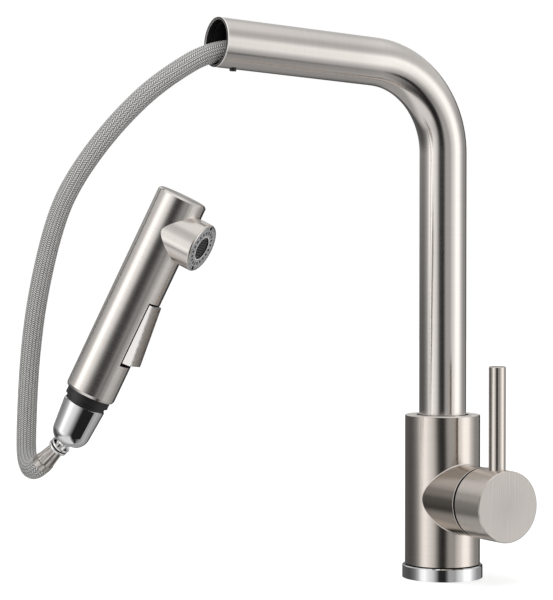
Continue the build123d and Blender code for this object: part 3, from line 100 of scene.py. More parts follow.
GROOVE_START, GROOVE_END = 0.0083, 0.0125  # and between these, from the ball's centre
TOUCH = 0.00003  # a finish that meets an edge starts this far past it

# The free hose: from inside the arm out of the mouth, down in a long arc, and folded under into its fitting
HOSE_ROUTE = [
    ARM_CROSSING + ARM_ALONG * 0.1175,
    ARM_CROSSING + ARM_ALONG * 0.1595,
    Vector((-0.1998, 0.0050, 0.3095)),
    Vector((-0.2261, 0.0144, 0.2821)),
    Vector((-0.2455, 0.0245, 0.2525)),
    Vector((-0.2553, 0.0313, 0.2280)),
    Vector((-0.2628, 0.0402, 0.1848)),
    Vector((-0.2645, 0.0493, 0.1450)),
    Vector((-0.2639, 0.0559, 0.1037)),
    Vector((-0.2628, 0.0587, 0.0826)),
    BALL_CENTRE + FITTING_ALONG * 0.0355,
    BALL_CENTRE + FITTING_ALONG * 0.0280,
]
ARM_STRETCH = (0.056, 0.1175)  # the stretch inside the arm, from the crossing

# Brush marks are about 0.15 mm apart, and run on for a few centimetres. Real ones are finer still, and these
# are the finest that show as grain.
MARKS_PER_METRE = 7000
MARKS_ACROSS = 30
RING_WANDER = 0.6  # how much the rings on a flat end change on their way round


def srgb(code):
    """A colour written as six hex digits, in the linear values that Blender's sockets take."""
    parts = [int(code[i : i + 2], 16) / 255 for i in (1, 3, 5)]
    return [p / 12.92 if p <= 0.04045 else ((p + 0.055) / 1.055) ** 2.4 for p in parts] + [1.0]


WHITE = (1, 1, 1, 1)
PAINTED_GAP_SHADE = srgb("#0c0c0c")  # painted shade: the flat black that stands for what a narrow gap or a shaded wall shows


# Sizes and colours that a user would change


class HoseSettings(bpy.types.PropertyGroup):
    diameter: FloatProperty(
        name="Hose diameter", description="Across the braid", default=0.012, unit="LENGTH"
    )
    carriers: IntProperty(
        name="Carriers", description="Ribbons of wire that wind each way round the hose", default=18
    )
    lead: FloatProperty(
        name="Lead", description="How far a ribbon climbs for each step it goes round", default=0.60
    )
    ribbon_width: FloatProperty(
        name="Ribbon width", description="Of one ribbon of wires", default=0.00086, unit="LENGTH"
    )
    wave: FloatProperty(
        name="Wave", description="How far a ribbon rises over the ones it crosses", default=0.00018,
        unit="LENGTH",
    )
    crown: FloatProperty(
        name="Crown", description="How far a ribbon's middle stands above its edges", default=0.00012,
        unit="LENGTH",
    )
    wire: FloatVectorProperty(
        name="Wire", description="Colour of the braid's wires", default=srgb("#eeedeb"), size=4,
        subtype="COLOR",
    )


class MetalSettings(bpy.types.PropertyGroup):
    steel: FloatVectorProperty(
        name="Steel", description="Colour of the brushed stainless steel", default=srgb("#dbd3cb"),
        size=4, subtype="COLOR",
    )
    spout_steel: FloatVectorProperty(
        name="Spout and spray", description="Colour of the spout's and spray's steel",
        default=srgb("#e4ded9"), size=4, subtype="COLOR",
    )
    steel_roughness: FloatProperty(
        name="Steel roughness", description="Of the brushed surfaces", default=0.16, subtype="FACTOR"
    )
    steel_direction: FloatProperty(
        name="Brushing", description="How much rougher the steel is across the brush marks",
        default=0.95, subtype="FACTOR",
    )
    chrome: FloatVectorProperty(
        name="Chrome", description="Colour of the polished chrome", default=srgb("#e3e3e4"), size=4,
        subtype="COLOR",
    )


class StageSettings(bpy.types.PropertyGroup):
    floor_size: FloatProperty(
        name="Floor size", description="Side of the floor", default=6.0, unit="LENGTH"
    )
    lens: FloatProperty(
        name="Lens", description="The camera's focal length", default=123.0, unit="CAMERA"
    )
    fill: FloatProperty(
        name="Fill light", description="Strength of the soft light from all sides", default=0.72
    )
    key: FloatProperty(
        name="Key light", description="Power of the large lamp above", default=9.0, unit="POWER"
    )


# Small helpers


def settings(name):
    return getattr(bpy.context.scene, name)


def start_clean():
    """Leaves edit mode and deselects everything."""
    if bpy.context.object and bpy.context.object.mode != "OBJECT":
        bpy.ops.object.mode_set(mode="OBJECT")
    bpy.ops.object.select_all(action="DESELECT")


def only(piece):
    start_clean()
    piece.select_set(True)
    bpy.context.view_layer.objects.active = piece


def dress(node, material):
    """Gives a CAD node its material in place of the one it came with."""
    piece = frame["nodes"][node]
    piece.data.materials.clear()
    piece.data.materials.append(material)


def dress_kinds(kinds):
    """Gives each node the material that kinds has for its slot in the record."""
    for row in frame["record"]["subparts"]:
        if row["material_slot"] in kinds:
            dress(row["node"], kinds[row["material_slot"]])


def feed(socket, value):
    """Gives a socket its value, or a link from the socket that holds it."""
    if isinstance(value, bpy.types.NodeSocket):
        socket.id_data.links.new(value, socket)
    else:
        socket.default_value = value


def held(socket):
    """What a socket has now: the socket that is linked to it, or else its own value."""
    return socket.links[0].from_socket if socket.links else socket.default_value


def add(tree, kind, *values, out=None, stops=(), **options):
    """Adds a node with its settings and links, and returns the output that out names, or else its first one.

    The kind may be followed by the node's operation. The values fill its sockets in order. An option is a
    setting, or a socket's name with its value. A ramp's stops are pairs of a place and a colour or a grey.
    """
    kind, _, operation = kind.partition(" ")
    node = tree.nodes.new("ShaderNode" + kind)
    if operation:
        node.operation = operation
    for option, value in options.items():
        if option in node.inputs:
            feed(node.inputs[option], value)
        else:
            setattr(node, option, value)
    for socket, value in zip([socket for socket in node.inputs if socket.enabled], values):
        feed(socket, value)
    if stops:
        elements = node.color_ramp.elements
        elements[0].position = stops[0][0]
        elements[1].position = stops[-1][0]
        for position, _ in stops[1:-1]:
            elements.new(position)
        for element, (_, value) in zip(elements, stops):
            element.color = (value, value, value, 1) if isinstance(value, (int, float)) else value
    if out:
        return node.outputs[out]
    return next(socket for socket in node.outputs if socket.enabled)


# What a Mix node mixes: colours, colours multiplied, or vectors
COLOURS = {"data_type": "RGBA"}
PRODUCT = {"data_type": "RGBA", "blend_type": "MULTIPLY"}
VECTORS = {"data_type": "VECTOR"}


def bare_tree(owner, output="OutputMaterial"):
    """Empties a material's or a world's nodes, and returns its tree and a new output node."""
    owner.use_nodes = True
    tree = owner.node_tree
    tree.nodes.clear()
    return tree, tree.nodes.new("ShaderNode" + output)


def new_material(name):
    """A new material with nothing but its surface shader and output."""
    material = bpy.data.materials.new(name)
    tree, output = bare_tree(material)
    surface = add(tree, "BsdfPrincipled")
    feed(output.inputs["Surface"], surface)
    return material, tree, surface.node


def open_up(material):
    """The tree and the surface shader of a material that is made already."""
    tree = material.node_tree
    return tree, next(node for node in tree.nodes if node.type == "BSDF_PRINCIPLED")


def place(tree, centre=None):
    """Where a point is, in metres along the tap's own axes, from a centre if one is given."""
    point = add(tree, "TexCoord", out="Object")
    return point if centre is None else add(tree, "VectorMath SUBTRACT", point, centre)


def about(tree, point, axis):
    """How far a point is along an axis, and its offset from it."""
    depth = add(tree, "VectorMath DOT_PRODUCT", point, axis)
    on_axis = add(tree, "VectorMath SCALE", axis, depth)
    return depth, add(tree, "VectorMath SUBTRACT", point, on_axis)


def facing(tree, way):
    """How squarely a surface faces a way, from -1 to 1."""
    normal = add(tree, "NewGeometry", out="Normal")
    return add(tree, "VectorMath DOT_PRODUCT", normal, way)


def tint(tree, shader, tone, stops=()):
    """Multiplies the colour that a shader has by a tone, or by what a ramp's stops make of it."""
    if stops:
        tone = add(tree, "ValToRGB", tone, stops=stops)
    colour = shader.inputs["Base Color"]
    feed(colour, add(tree, "Mix", 1.0, held(colour), tone, **PRODUCT))


def shade_part(tree, shader, inside, colour, roughness, metallic):
    """Gives the places that inside marks another colour, roughness and share of metal.

    A share of metal that is the same all over stays on the shader's own socket.
    """
    for name, value, kind in (
        ("Base Color", colour, "RGBA"), ("Roughness", roughness, "FLOAT"), ("Metallic", metallic, "FLOAT")
    ):
        socket = shader.inputs[name]
        if held(socket) != value:
            feed(socket, add(tree, "Mix", inside, held(socket), value, data_type=kind))


# Brushed stainless steel: a soft warm grey whose light runs in bands, drawn out across its fine brush marks


def brush_marks(tree, shader, marks, tangent, colour):
    """Fine parallel brush marks, from coordinates that change fast along the piece and slowly across it."""
    look = settings("tap_metal")
    fine = add(tree, "TexNoise", marks, Scale=1.0, Detail=3.0, Roughness=0.6)
    broad = add(tree, "TexNoise", add(tree, "VectorMath SCALE", marks, 0.22), Scale=1.0, Detail=2.0)
    both = add(tree, "Mix", 0.6, broad, fine)
    feed(shader.inputs["Base Color"], colour)
    tint(tree, shader, both, [(0.30, 0.88), (0.5, 0.97), (0.68, 1.0)])
    low, high = look.steel_roughness - 0.015, look.steel_roughness + 0.025
    feed(shader.inputs["Roughness"], add(tree, "MapRange", fine, 0.3, 0.7, low, high))
    feed(shader.inputs["Metallic"], 1.0)
    feed(shader.inputs["Anisotropic"], look.steel_direction)
    feed(shader.inputs["Tangent"], tangent)
    feed(shader.inputs["Normal"], add(tree, "Bump", Strength=0.012, Distance=0.0001, Height=fine))


def on_end(tree, axis):
    """1 on a turned piece's flat ends, which face within 41 degrees of its axis, and 0 round its side."""
    squarely = add(tree, "Math ABSOLUTE", facing(tree, axis))
    return add(tree, "Math GREATER_THAN", squarely, 0.75)


def side_marks(tree, axis, depth, outward, along, across):
    """Coordinates for marks that run round the side of a turned piece."""
    step = add(tree, "VectorMath SCALE", axis * along, depth)
    turn = add(tree, "VectorMath SCALE", outward, across)
    return add(tree, "VectorMath ADD", step, turn)


def turned_steel(name, centre, axis, colour):
    """Steel brushed round its axis, with fine rings on its flat ends."""
    material, tree, shader = new_material(name)
    depth, outward = about(tree, place(tree, centre), axis)
    side = side_marks(tree, axis, depth, outward, MARKS_PER_METRE, MARKS_ACROSS)
    radius = add(tree, "VectorMath LENGTH", outward)
    out = add(tree, "VectorMath NORMALIZE", outward)
    rings = side_marks(tree, axis, radius, out, MARKS_PER_METRE, RING_WANDER)
    end = on_end(tree, axis)
    marks = add(tree, "Mix", end, side, rings, **VECTORS)
    tangent = add(tree, "Mix", end, axis, out, **VECTORS)
    brush_marks(tree, shader, marks, tangent, colour)
    return material


BEADS_PER_METRE = 2600  # the blasted side has pits of about 0.4 mm, where real ones are a tenth of that
BEADS_ACROSS = 420


def lever_cap_steel(name):
    """Steel blasted to an even sheen round its side, with a straight brushed face tinted darker."""
    material, tree, shader = new_material(name)
    point = place(tree, LEVER_CENTRE)
    depth, outward = about(tree, point, LEVER_ALONG)
    side = side_marks(tree, LEVER_ALONG, depth, outward, BEADS_PER_METRE, BEADS_ACROSS)
    grain = (MARKS_PER_METRE, 0, MARKS_ACROSS * 2)
    straight = add(tree, "VectorMath MULTIPLY", point, grain)
    end = on_end(tree, LEVER_ALONG)
    marks = add(tree, "Mix", end, side, straight, **VECTORS)
    tangent = add(tree, "Mix", end, LEVER_ALONG, (-1, 0, 0), **VECTORS)
    brush_marks(tree, shader, marks, tangent, settings("tap_metal").steel)
    # the face, brushed up and down, is tinted darker than the side, with a faint darker cloud in its middle
    radius = add(tree, "VectorMath LENGTH", outward)
    cloud = add(tree, "TexNoise", point, Scale=60.0, Detail=3.0)
    ragged = add(tree, "Math MULTIPLY_ADD", cloud, 0.010, radius)
    middle = add(tree, "MapRange", ragged, BOSS_RADIUS, 0.004)
    darker_face = add(tree, "Mix", middle, (0.675, 0.69, 0.705, 1), (0.605, 0.62, 0.635, 1), **COLOURS)
    streaks = add(tree, "TexNoise", add(tree, "VectorMath SCALE", straight, 0.35), Scale=1.0, Detail=2.0)
    tone = add(tree, "ValToRGB", streaks, stops=[(0.36, 0.89), (0.64, 1.0)])
    darker_face = add(tree, "Mix", 1.0, darker_face, tone, **PRODUCT)
    tint(tree, shader, add(tree, "Mix", end, WHITE, darker_face, **COLOURS))
    feed(shader.inputs["Metallic"], 0.82)
    return material


def body_steel(name):
    """The body's steel: brushed round the riser's axis, and on the boss round the lever's."""
    material, tree, shader = new_material(name)
    point = place(tree)
    x, y, z = add(tree, "SeparateXYZ", point).node.outputs
    reach = add(tree, "VectorMath LENGTH", add(tree, "CombineXYZ", x, y))
    on_boss = add(tree, "Math GREATER_THAN", reach, BOSS_START)
    body_grain = (MARKS_ACROSS, MARKS_ACROSS, MARKS_PER_METRE)
    boss_grain = (MARKS_ACROSS, MARKS_PER_METRE, MARKS_ACROSS)
    body_marks = add(tree, "VectorMath MULTIPLY", point, body_grain)
    boss_marks = add(tree, "VectorMath MULTIPLY", point, boss_grain)
    marks = add(tree, "Mix", on_boss, body_marks, boss_marks, **VECTORS)
    tangent = add(tree, "Mix", on_boss, RISER_ALONG, LEVER_ALONG, **VECTORS)
    brush_marks(tree, shader, marks, tangent, settings("tap_metal").steel)
    # the boss is tinted a little darker, and its rim and its seam on the body get a painted highlight
    tint(tree, shader, add(tree, "Mix", on_boss, WHITE, (0.76, 0.73, 0.70, 1), **COLOURS))
    _, from_lever = about(tree, place(tree, LEVER_CENTRE), LEVER_ALONG)
    boss_radius = add(tree, "VectorMath LENGTH", from_lever)
    off_body = add(tree, "Math GREATER_THAN", reach, SEAM_START)
    off_boss = add(tree, "Math GREATER_THAN", boss_radius, BOSS_RADIUS + TOUCH)
    seam = add(tree, "Math MULTIPLY", off_body, off_boss)
    # painted highlight: light lines on the boss's rim and on its seam, and the body's flat top painted
    # bright
    rim = add(tree, "Math LESS_THAN", y, BOSS_RIM + RIM_WIDTH)
    top = add(tree, "Math GREATER_THAN", z, BODY_TOP - CUT_DEPTH)
    painted_highlight = add(tree, "Math MAXIMUM", add(tree, "Math MAXIMUM", seam, rim), top)
    shade_part(tree, shader, painted_highlight, srgb("#efeae5"), 0.35, 0.45)
    # painted shade: black on the boss's front under the lever cap, and round the spout's foot in the body's
    # opening
    under_cap = add(tree, "Math LESS_THAN", y, BOSS_RIM - TOUCH)
    opening = add(tree, "Math LESS_THAN", reach, BODY_OPENING)
    hidden = add(tree, "Math MAXIMUM", under_cap, opening)
    shade_part(tree, shader, hidden, PAINTED_GAP_SHADE, 0.6, 1.0)
    return material


def spout_steel(name):
    """The spout's steel, brushed round the tube all the way through its bend."""
    material, tree, shader = new_material(name)
    x, y, z = add(tree, "SeparateXYZ", place(tree, BEND_CENTRE)).node.outputs
    below = add(tree, "Math MINIMUM", z, 0.0)
    lifted = add(tree, "CombineXYZ", x, 0.0, add(tree, "Math MAXIMUM", z, 0.0))
    reach = add(tree, "VectorMath DOT_PRODUCT", lifted, ARM_ALONG)
    past = add(tree, "Math MAXIMUM", reach, 0.0)
    on_arm = add(tree, "VectorMath SCALE", ARM_ALONG, past)
    on_bend = add(tree, "VectorMath SUBTRACT", lifted, on_arm)
    bend = add(tree, "SeparateXYZ", on_bend).node.outputs
    angle = add(tree, "Math ARCTAN2", bend["Z"], bend["X"])
    straight = add(tree, "Math ADD", below, past)
    run = add(tree, "Math MULTIPLY_ADD", angle, BEND_RADIUS, straight)
    from_middle = add(tree, "VectorMath LENGTH", on_bend)
    rise = add(tree, "Math SUBTRACT", from_middle, BEND_RADIUS)
    grain = (MARKS_PER_METRE, MARKS_ACROSS, MARKS_ACROSS)
    marks = add(tree, "VectorMath MULTIPLY", add(tree, "CombineXYZ", run, rise, y), grain)
    across_bend = add(tree, "VectorMath CROSS_PRODUCT", on_bend, (0, 1, 0))
    tangent = add(tree, "VectorMath NORMALIZE", across_bend)
    brush_marks(tree, shader, marks, tangent, settings("tap_metal").spout_steel)
    # the arm is tinted a little darker than the riser
    on_its_arm = add(tree, "MapRange", past, 0.0, 0.02)
    tint(tree, shader, add(tree, "Mix", on_its_arm, WHITE, (0.90, 0.90, 0.90, 1), **COLOURS))
    # its cut end: a buffed edge outside, with a painted highlight, then black from the lining's lip, and a
    # painted highlight in grey where that ends
    depth, outward = about(tree, place(tree, ARM_CROSSING + ARM_ALONG * ARM_REACH), ARM_ALONG)
    buffed_edge_highlight = add(tree, "Math GREATER_THAN", depth, -BUFFED_WIDTH)
    shade_part(tree, shader, buffed_edge_highlight, srgb("#f7f4f1"), 0.35, 0.3)
    cut = add(tree, "Math GREATER_THAN", depth, -CUT_DEPTH)
    radius = add(tree, "VectorMath LENGTH", outward)
    outer = add(tree, "Math GREATER_THAN", radius, LIP_RADIUS)
    tone = add(tree, "Mix", outer, srgb("#77726e"), srgb("#1a1a1a"), **COLOURS)
    shade_part(tree, shader, cut, tone, 0.4, 0.0)
    return material


def spray_steel(name):
    """The spray's steel, with painted shade in black on the walls of the selector's slot and on a strip of
    the spray beside it.
    """
    material = turned_steel(name, SPRAY_TOP, SPRAY_ALONG, settings("tap_metal").spout_steel)
    tree, shader = open_up(material)
    point = place(tree, SELECTOR_CENTRE)
    # painted shade: black in the slot and on a strip round its edge
    front = add(tree, "VectorMath DOT_PRODUCT", point, NOZZLE_ALONG)
    inside = add(tree, "Math GREATER_THAN", front, 0.0)
    for way, half in ((SPRAY_ALONG, SLOT_HALF_LENGTH), (SPRAY_SIDE, SLOT_HALF_WIDTH)):
        reach = add(tree, "VectorMath DOT_PRODUCT", point, way)
        reach = add(tree, "Math ABSOLUTE", reach)
        within = add(tree, "Math LESS_THAN", reach, half)
        inside = add(tree, "Math MULTIPLY", inside, within)
    shade_part(tree, shader, inside, PAINTED_GAP_SHADE, 0.6, 1.0)
    return material


# Polished and plated metal


def polished_metal(name, colour, roughness=0.05, cloud=0.03):
    """Buffed and plated metal: clear reflections, softened by a faint uneven haze."""
    material, tree, shader = new_material(name)
    haze = add(tree, "TexNoise", place(tree), Scale=90.0, Detail=3.0)
    feed(shader.inputs["Base Color"], colour)
    tint(tree, shader, haze, [(0.3, 0.965), (0.7, 1.0)])
    feed(shader.inputs["Roughness"], add(tree, "MapRange", haze, 0.3, 0.7, roughness, roughness + cloud))
    feed(shader.inputs["Metallic"], 1.0)
    return material


def ring_chrome(name):
    """The base ring: mirror-bright plating, with painted shade in black in the gap between its bore and the
    body.
    """
    material = polished_metal(name, settings("tap_metal").chrome)
    tree, shader = open_up(material)
    _, outward = about(tree, place(tree), RISER_ALONG)
    radius = add(tree, "VectorMath LENGTH", outward)
    inside = add(tree, "Math LESS_THAN", radius, RING_BORE)
    shade_part(tree, shader, inside, PAINTED_GAP_SHADE, 0.6, 1.0)
    return material


def stud_chrome(name):
    """The ball stud: bright plating, with painted shade in black down in the groove between its two collars.
    """
    material = polished_metal(name, srgb("#eeedec"), 0.05, 0.04)
    tree, shader = open_up(material)
    depth, outward = about(tree, place(tree, BALL_CENTRE), FITTING_ALONG)
    radius = add(tree, "VectorMath LENGTH", outward)
    inside = add(tree, "Math LESS_THAN", radius, GROOVE_RADIUS)
    for limit, test in ((GROOVE_START, "GREATER_THAN"), (GROOVE_END, "LESS_THAN")):
        within = add(tree, "Math " + test, depth, limit)
        inside = add(tree, "Math MULTIPLY", inside, within)
    shade_part(tree, shader, inside, PAINTED_GAP_SHADE, 0.6, 1.0)
    return material


def crimped_nickel(name):
    """The pressed sleeve: satin nickel, scored along by the crimping jaws into darker and lighter stripes.
    """
    material = polished_metal(name, srgb("#d8d2cc"), 0.16, 0.10)
    tree, shader = open_up(material)
    depth, outward = about(tree, place(tree, BALL_CENTRE), FITTING_ALONG)
    side = FITTING_ALONG.orthogonal().normalized()
    over = add(tree, "VectorMath DOT_PRODUCT", outward, side)
    up = add(tree, "VectorMath DOT_PRODUCT", outward, FITTING_ALONG.cross(side))
    angle = add(tree, "Math ARCTAN2", over, up)
    # the scores are about 1.5 mm apart round the sleeve, and run its whole length
    unrolled = add(tree, "CombineXYZ", angle, depth)
    marks = add(tree, "VectorMath MULTIPLY", unrolled, (4.5, 60, 0))
    scores = add(tree, "TexNoise", marks, Scale=1.0, Detail=2.0)
    stops = [(0.36, 0.40), (0.45, 0.92), (0.54, 0.58), (0.62, 1.0)]
    tint(tree, shader, scores, stops)
    return material


def rocker_steel(name):
    """The selector: cast steel, polished on its flanks, its face duller, and darker towards the far edge
    along a ragged line.
    """
    material = polished_metal(name, srgb("#e9e6e3"), 0.10, 0.08)
    tree, shader = open_up(material)
    point = place(tree, SPRAY_TOP)
    over = add(tree, "VectorMath DOT_PRODUCT", point, SPRAY_SIDE)
    # cast pits are a fraction of a millimetre, and are drawn at 1.6 mm so that they show
    pits = add(tree, "Math SUBTRACT", add(tree, "TexNoise", point, Scale=620.0, Detail=3.0), 0.5)
    ragged = add(tree, "Math MULTIPLY_ADD", pits, 0.006, over)
    step = add(tree, "MapRange", ragged, SELECTOR_HALF_WIDTH, -SELECTOR_HALF_WIDTH)
    stops = [
        (0.0, srgb("#f4f1ee")), (0.10, srgb("#cfc7c1")), (0.55, srgb("#a59c95")), (0.78, srgb("#8b827b")),
        (0.88, srgb("#5c534e")), (1.0, srgb("#6e655f")),
    ]
    face = add(tree, "Math GREATER_THAN", facing(tree, NOZZLE_ALONG), 0.7)
    shade_part(tree, shader, face, add(tree, "ValToRGB", step, stops=stops), 0.35, 0.45)
    return material


# Plastic and rubber


def moulded(name, colour, roughness=0.42, grain=1400.0, depth=0.00004):
    """Injection-moulded plastic or rubber: an even colour, its gloss broken by a fine spark-eroded grain.

    The grain is about 0.7 mm at its default of 1400 to the metre, which is coarse enough to show.
    """
    material, tree, shader = new_material(name)
    point = place(tree)
    fine = add(tree, "TexNoise", point, Scale=grain, Detail=2.0)
    broad = add(tree, "TexNoise", point, Scale=60.0, Detail=2.0)
    feed(shader.inputs["Base Color"], colour)
    tint(tree, shader, broad, [(0.3, 0.9), (0.7, 1.0)])
    gloss = add(tree, "MapRange", fine, 0.3, 0.7, roughness - 0.05, roughness + 0.08)
    feed(shader.inputs["Roughness"], gloss)
    feed(shader.inputs["Normal"], add(tree, "Bump", Strength=0.35, Distance=depth, Height=fine))
    return material


def face_plastic(name, colour, front):
    """Grey moulded plastic, speckled each millimetre or so by its regrind, with painted shade in black below
    its front.
    """
    material = moulded(name, colour, 0.45)
    tree, shader = open_up(material)
    point = place(tree, NOZZLE_CENTRE)
    specks = add(tree, "TexNoise", point, Scale=900.0, Detail=2.0)
    tint(tree, shader, specks, [(0.36, 0.62), (0.5, 0.9), (0.62, 1.0)])
    reach = add(tree, "VectorMath DOT_PRODUCT", point, NOZZLE_ALONG)
    # painted shade: what lies deeper than the front is painted black
    deep = add(tree, "Math LESS_THAN", reach, front - FACE_DEPTH)
    shade_part(tree, shader, deep, PAINTED_GAP_SHADE, 0.6, 0.0)
    return material


# The braid's wires


def braid_wire(name, colour, crest):
    """Stainless wires side by side in a ribbon, with a painted highlight where it lies on top and painted
    shade where it dives under.
    """
    material, tree, shader = new_material(name)
    along, across = add(tree, "SeparateXYZ", add(tree, "UVMap")).node.outputs[:2]
    along = add(tree, "Math ADD", along, 1.0 - crest)
    painted_crest_and_dive_shade = add(tree, "Math PINGPONG", along, 0.5)
    painted_edge_shade = add(tree, "Math PINGPONG", across, 0.5)
    # five round wires, each from 0 at its edges to 1 along its middle
    wires = add(tree, "Math MULTIPLY", across, 5.0)
    wires = add(tree, "Math PINGPONG", wires, 0.5)
    wires = add(tree, "Math MULTIPLY", wires, 2.0)
    wires = add(tree, "Math SQRT", wires)
    # painted highlight and shade: each ribbon bright at its crest and dark where it dives under, dark along
    # its edges, and each wire darker at its sides
    feed(shader.inputs["Base Color"], colour)
    for value, stops in (
        (painted_crest_and_dive_shade, [(0.0, 1.0), (0.18, 1.0), (0.24, 0.18), (0.29, 0.02)]),
        (painted_edge_shade, [(0.0, 0.05), (0.16, 0.75), (0.36, 1.0)]),
        (wires, [(0.0, 0.72), (0.5, 0.96), (1.0, 1.0)]),
    ):
        tint(tree, shader, value, stops)
    feed(shader.inputs["Normal"], add(tree, "Bump", Strength=0.6, Distance=0.0001, Height=wires))
    feed(shader.inputs["Metallic"], 0.2)
    feed(shader.inputs["Roughness"], 0.38)
    return material


def sleeved_braid(name):
    """The braid of the stretches that stay inside the tap: crossing rows of wire, 2 mm apart."""
    material = polished_metal(name, srgb("#c9c7c3"), 0.34, 0.1)
    tree, shader = open_up(material)
    x, y, z = add(tree, "SeparateXYZ", place(tree)).node.outputs
    sideways = add(tree, "Math ADD", x, y)
    for way in (1, -1):
        row = add(tree, "Math MULTIPLY_ADD", sideways, way, z)
        row = add(tree, "Math MULTIPLY", row, 480.0)
        row = add(tree, "Math PINGPONG", row, 0.5)
        tint(tree, shader, row, [(0.0, 0.35), (0.2, 0.9), (0.5, 1.0)])
    return material


# The woven hose


def route_curve(points):
    """The hose's centreline: one smooth spline with the route's points as its control points."""
    curve = bpy.data.curves.new("hose_centreline", "CURVE")
    curve.dimensions = "3D"
    curve.resolution_u = 32
    spline = curve.splines.new("NURBS")
    spline.points.add(len(points) - 1)
    for control, point in zip(spline.points, points):
        control.co = (*point, 1)
    spline.order_u = 3
    spline.use_endpoint_u = True
    line = bpy.data.objects.new("hose_centreline", curve)
    bpy.context.collection.objects.link(line)
    bpy.context.view_layer.update()
    return line


def points_on(line):
    """The points that Blender itself draws the spline through."""
    mesh = bpy.data.meshes.new_from_object(line)
    points = [vertex.co.copy() for vertex in mesh.vertices]
    bpy.data.meshes.remove(mesh)
    return points


def run_length(points):
    return sum((b - a).length for a, b in zip(points, points[1:]))


def nudge(piece, chosen, by):
    """Moves the vertices whose place chosen says yes to."""
    bpy.ops.object.mode_set(mode="EDIT")
    bpy.ops.mesh.select_all(action="DESELECT")
    bpy.ops.object.mode_set(mode="OBJECT")
    for vertex in piece.data.vertices:
        vertex.select = chosen(vertex.co)
    bpy.ops.object.mode_set(mode="EDIT")
    bpy.ops.transform.translate(value=by)
    bpy.ops.object.mode_set(mode="OBJECT")


def repeat(piece, name, count, offset, merge=0.0):
    """Repeats a piece at an even offset, and joins the vertices that then lie within merge of each other."""
    row = piece.modifiers.new(name, "ARRAY")
    row.count = count
    row.use_relative_offset = False
    row.use_constant_offset = True
    row.constant_offset_displace = offset
    row.use_merge_vertices = merge > 0
    row.merge_threshold = merge
    bpy.ops.object.modifier_apply(modifier=name)


WAVE_COLUMNS = 6  # steps in one wave of a ribbon
CREST = 1 / 8  # where in its wave a right-hand ribbon is highest; a left-hand one is half a wave further on
CORE_DEPTH = 0.0005  # how far the rubber core lies inside the hose's radius
CORE_SIDES = 20
CORE_STEP = 0.0024  # the core's rings are this far apart, so that it bends smoothly
ROUNDING = 0.00002  # keeps the rolled and bent ribbons inside the plain tube that they replace


def woven_layer(name, length, slant, hose):
    """One direction of the braid, flat: a ribbon that waves over two and under two, repeated up the hose."""
    around = math.pi * hose.diameter
    pitch = around / hose.carriers
    start = -around / 2
    near = pitch / 50
    start_clean()
    bpy.ops.mesh.primitive_grid_add(
        x_subdivisions=WAVE_COLUMNS, y_subdivisions=2, size=1, rotation=(math.pi / 2, 0, 0), calc_uvs=True
    )
    ribbon = bpy.context.object
    ribbon.name = name
    ribbon.scale = (2 * pitch, hose.ribbon_width * math.hypot(1, hose.lead), 1)
    ribbon.location = (start + pitch, 0, 0)
    bpy.ops.object.transform_apply(location=True, rotation=True, scale=True)
    for column in range(WAVE_COLUMNS + 1):
        share = column / WAVE_COLUMNS
        step = 2 * pitch * share
        wave = 1.5 * math.cos(2 * math.pi * (share - CREST))  # cut off at 1, so that its tops are flat
        rise = slant * hose.wave * max(-1, min(1, wave))
        nudge(ribbon, lambda co: abs(co.x - start - step) < near, (0, -rise, slant * step * hose.lead))
    nudge(ribbon, lambda co: abs(co.z - slant * (co.x - start) * hose.lead) < near, (0, -hose.crown, 0))
    once_round = (2 * pitch, 0, slant * 2 * pitch * hose.lead)
    repeat(ribbon, "once_round", hose.carriers // 2, once_round, pitch / 100)
    rows = int(length / (pitch * hose.lead)) + hose.carriers + 1
    repeat(ribbon, "up_the_hose", rows, (0, 0, pitch * hose.lead))
    if slant > 0:
        ribbon.location = (0, 0, -around * hose.lead)
        bpy.ops.object.transform_apply(location=True)
    for height, keep_above in ((0.0, True), (length, False)):
        bpy.ops.object.mode_set(mode="EDIT")
        bpy.ops.mesh.select_all(action="SELECT")
        bpy.ops.mesh.bisect(
            plane_co=(0, 0, height), plane_no=(0, 0, 1), clear_inner=keep_above, clear_outer=not keep_above
        )
        bpy.ops.object.mode_set(mode="OBJECT")
    return ribbon


def tube_core(length, radius):
    """The dark rubber tube under the braid."""
    start_clean()
    bpy.ops.mesh.primitive_circle_add(vertices=CORE_SIDES, radius=radius, fill_type="NOTHING")
    core = bpy.context.object
    core.name = "hose_core"
    count = max(2, round(length / CORE_STEP))
    step = length / count
    bpy.ops.object.mode_set(mode="EDIT")
    bpy.ops.mesh.select_all(action="SELECT")
    bpy.ops.mesh.extrude_region_move(TRANSFORM_OT_translate={"value": (0, 0, step)})
    bpy.ops.object.mode_set(mode="OBJECT")
    repeat(core, "rings", count, (0, 0, step), step / 100)
    return core


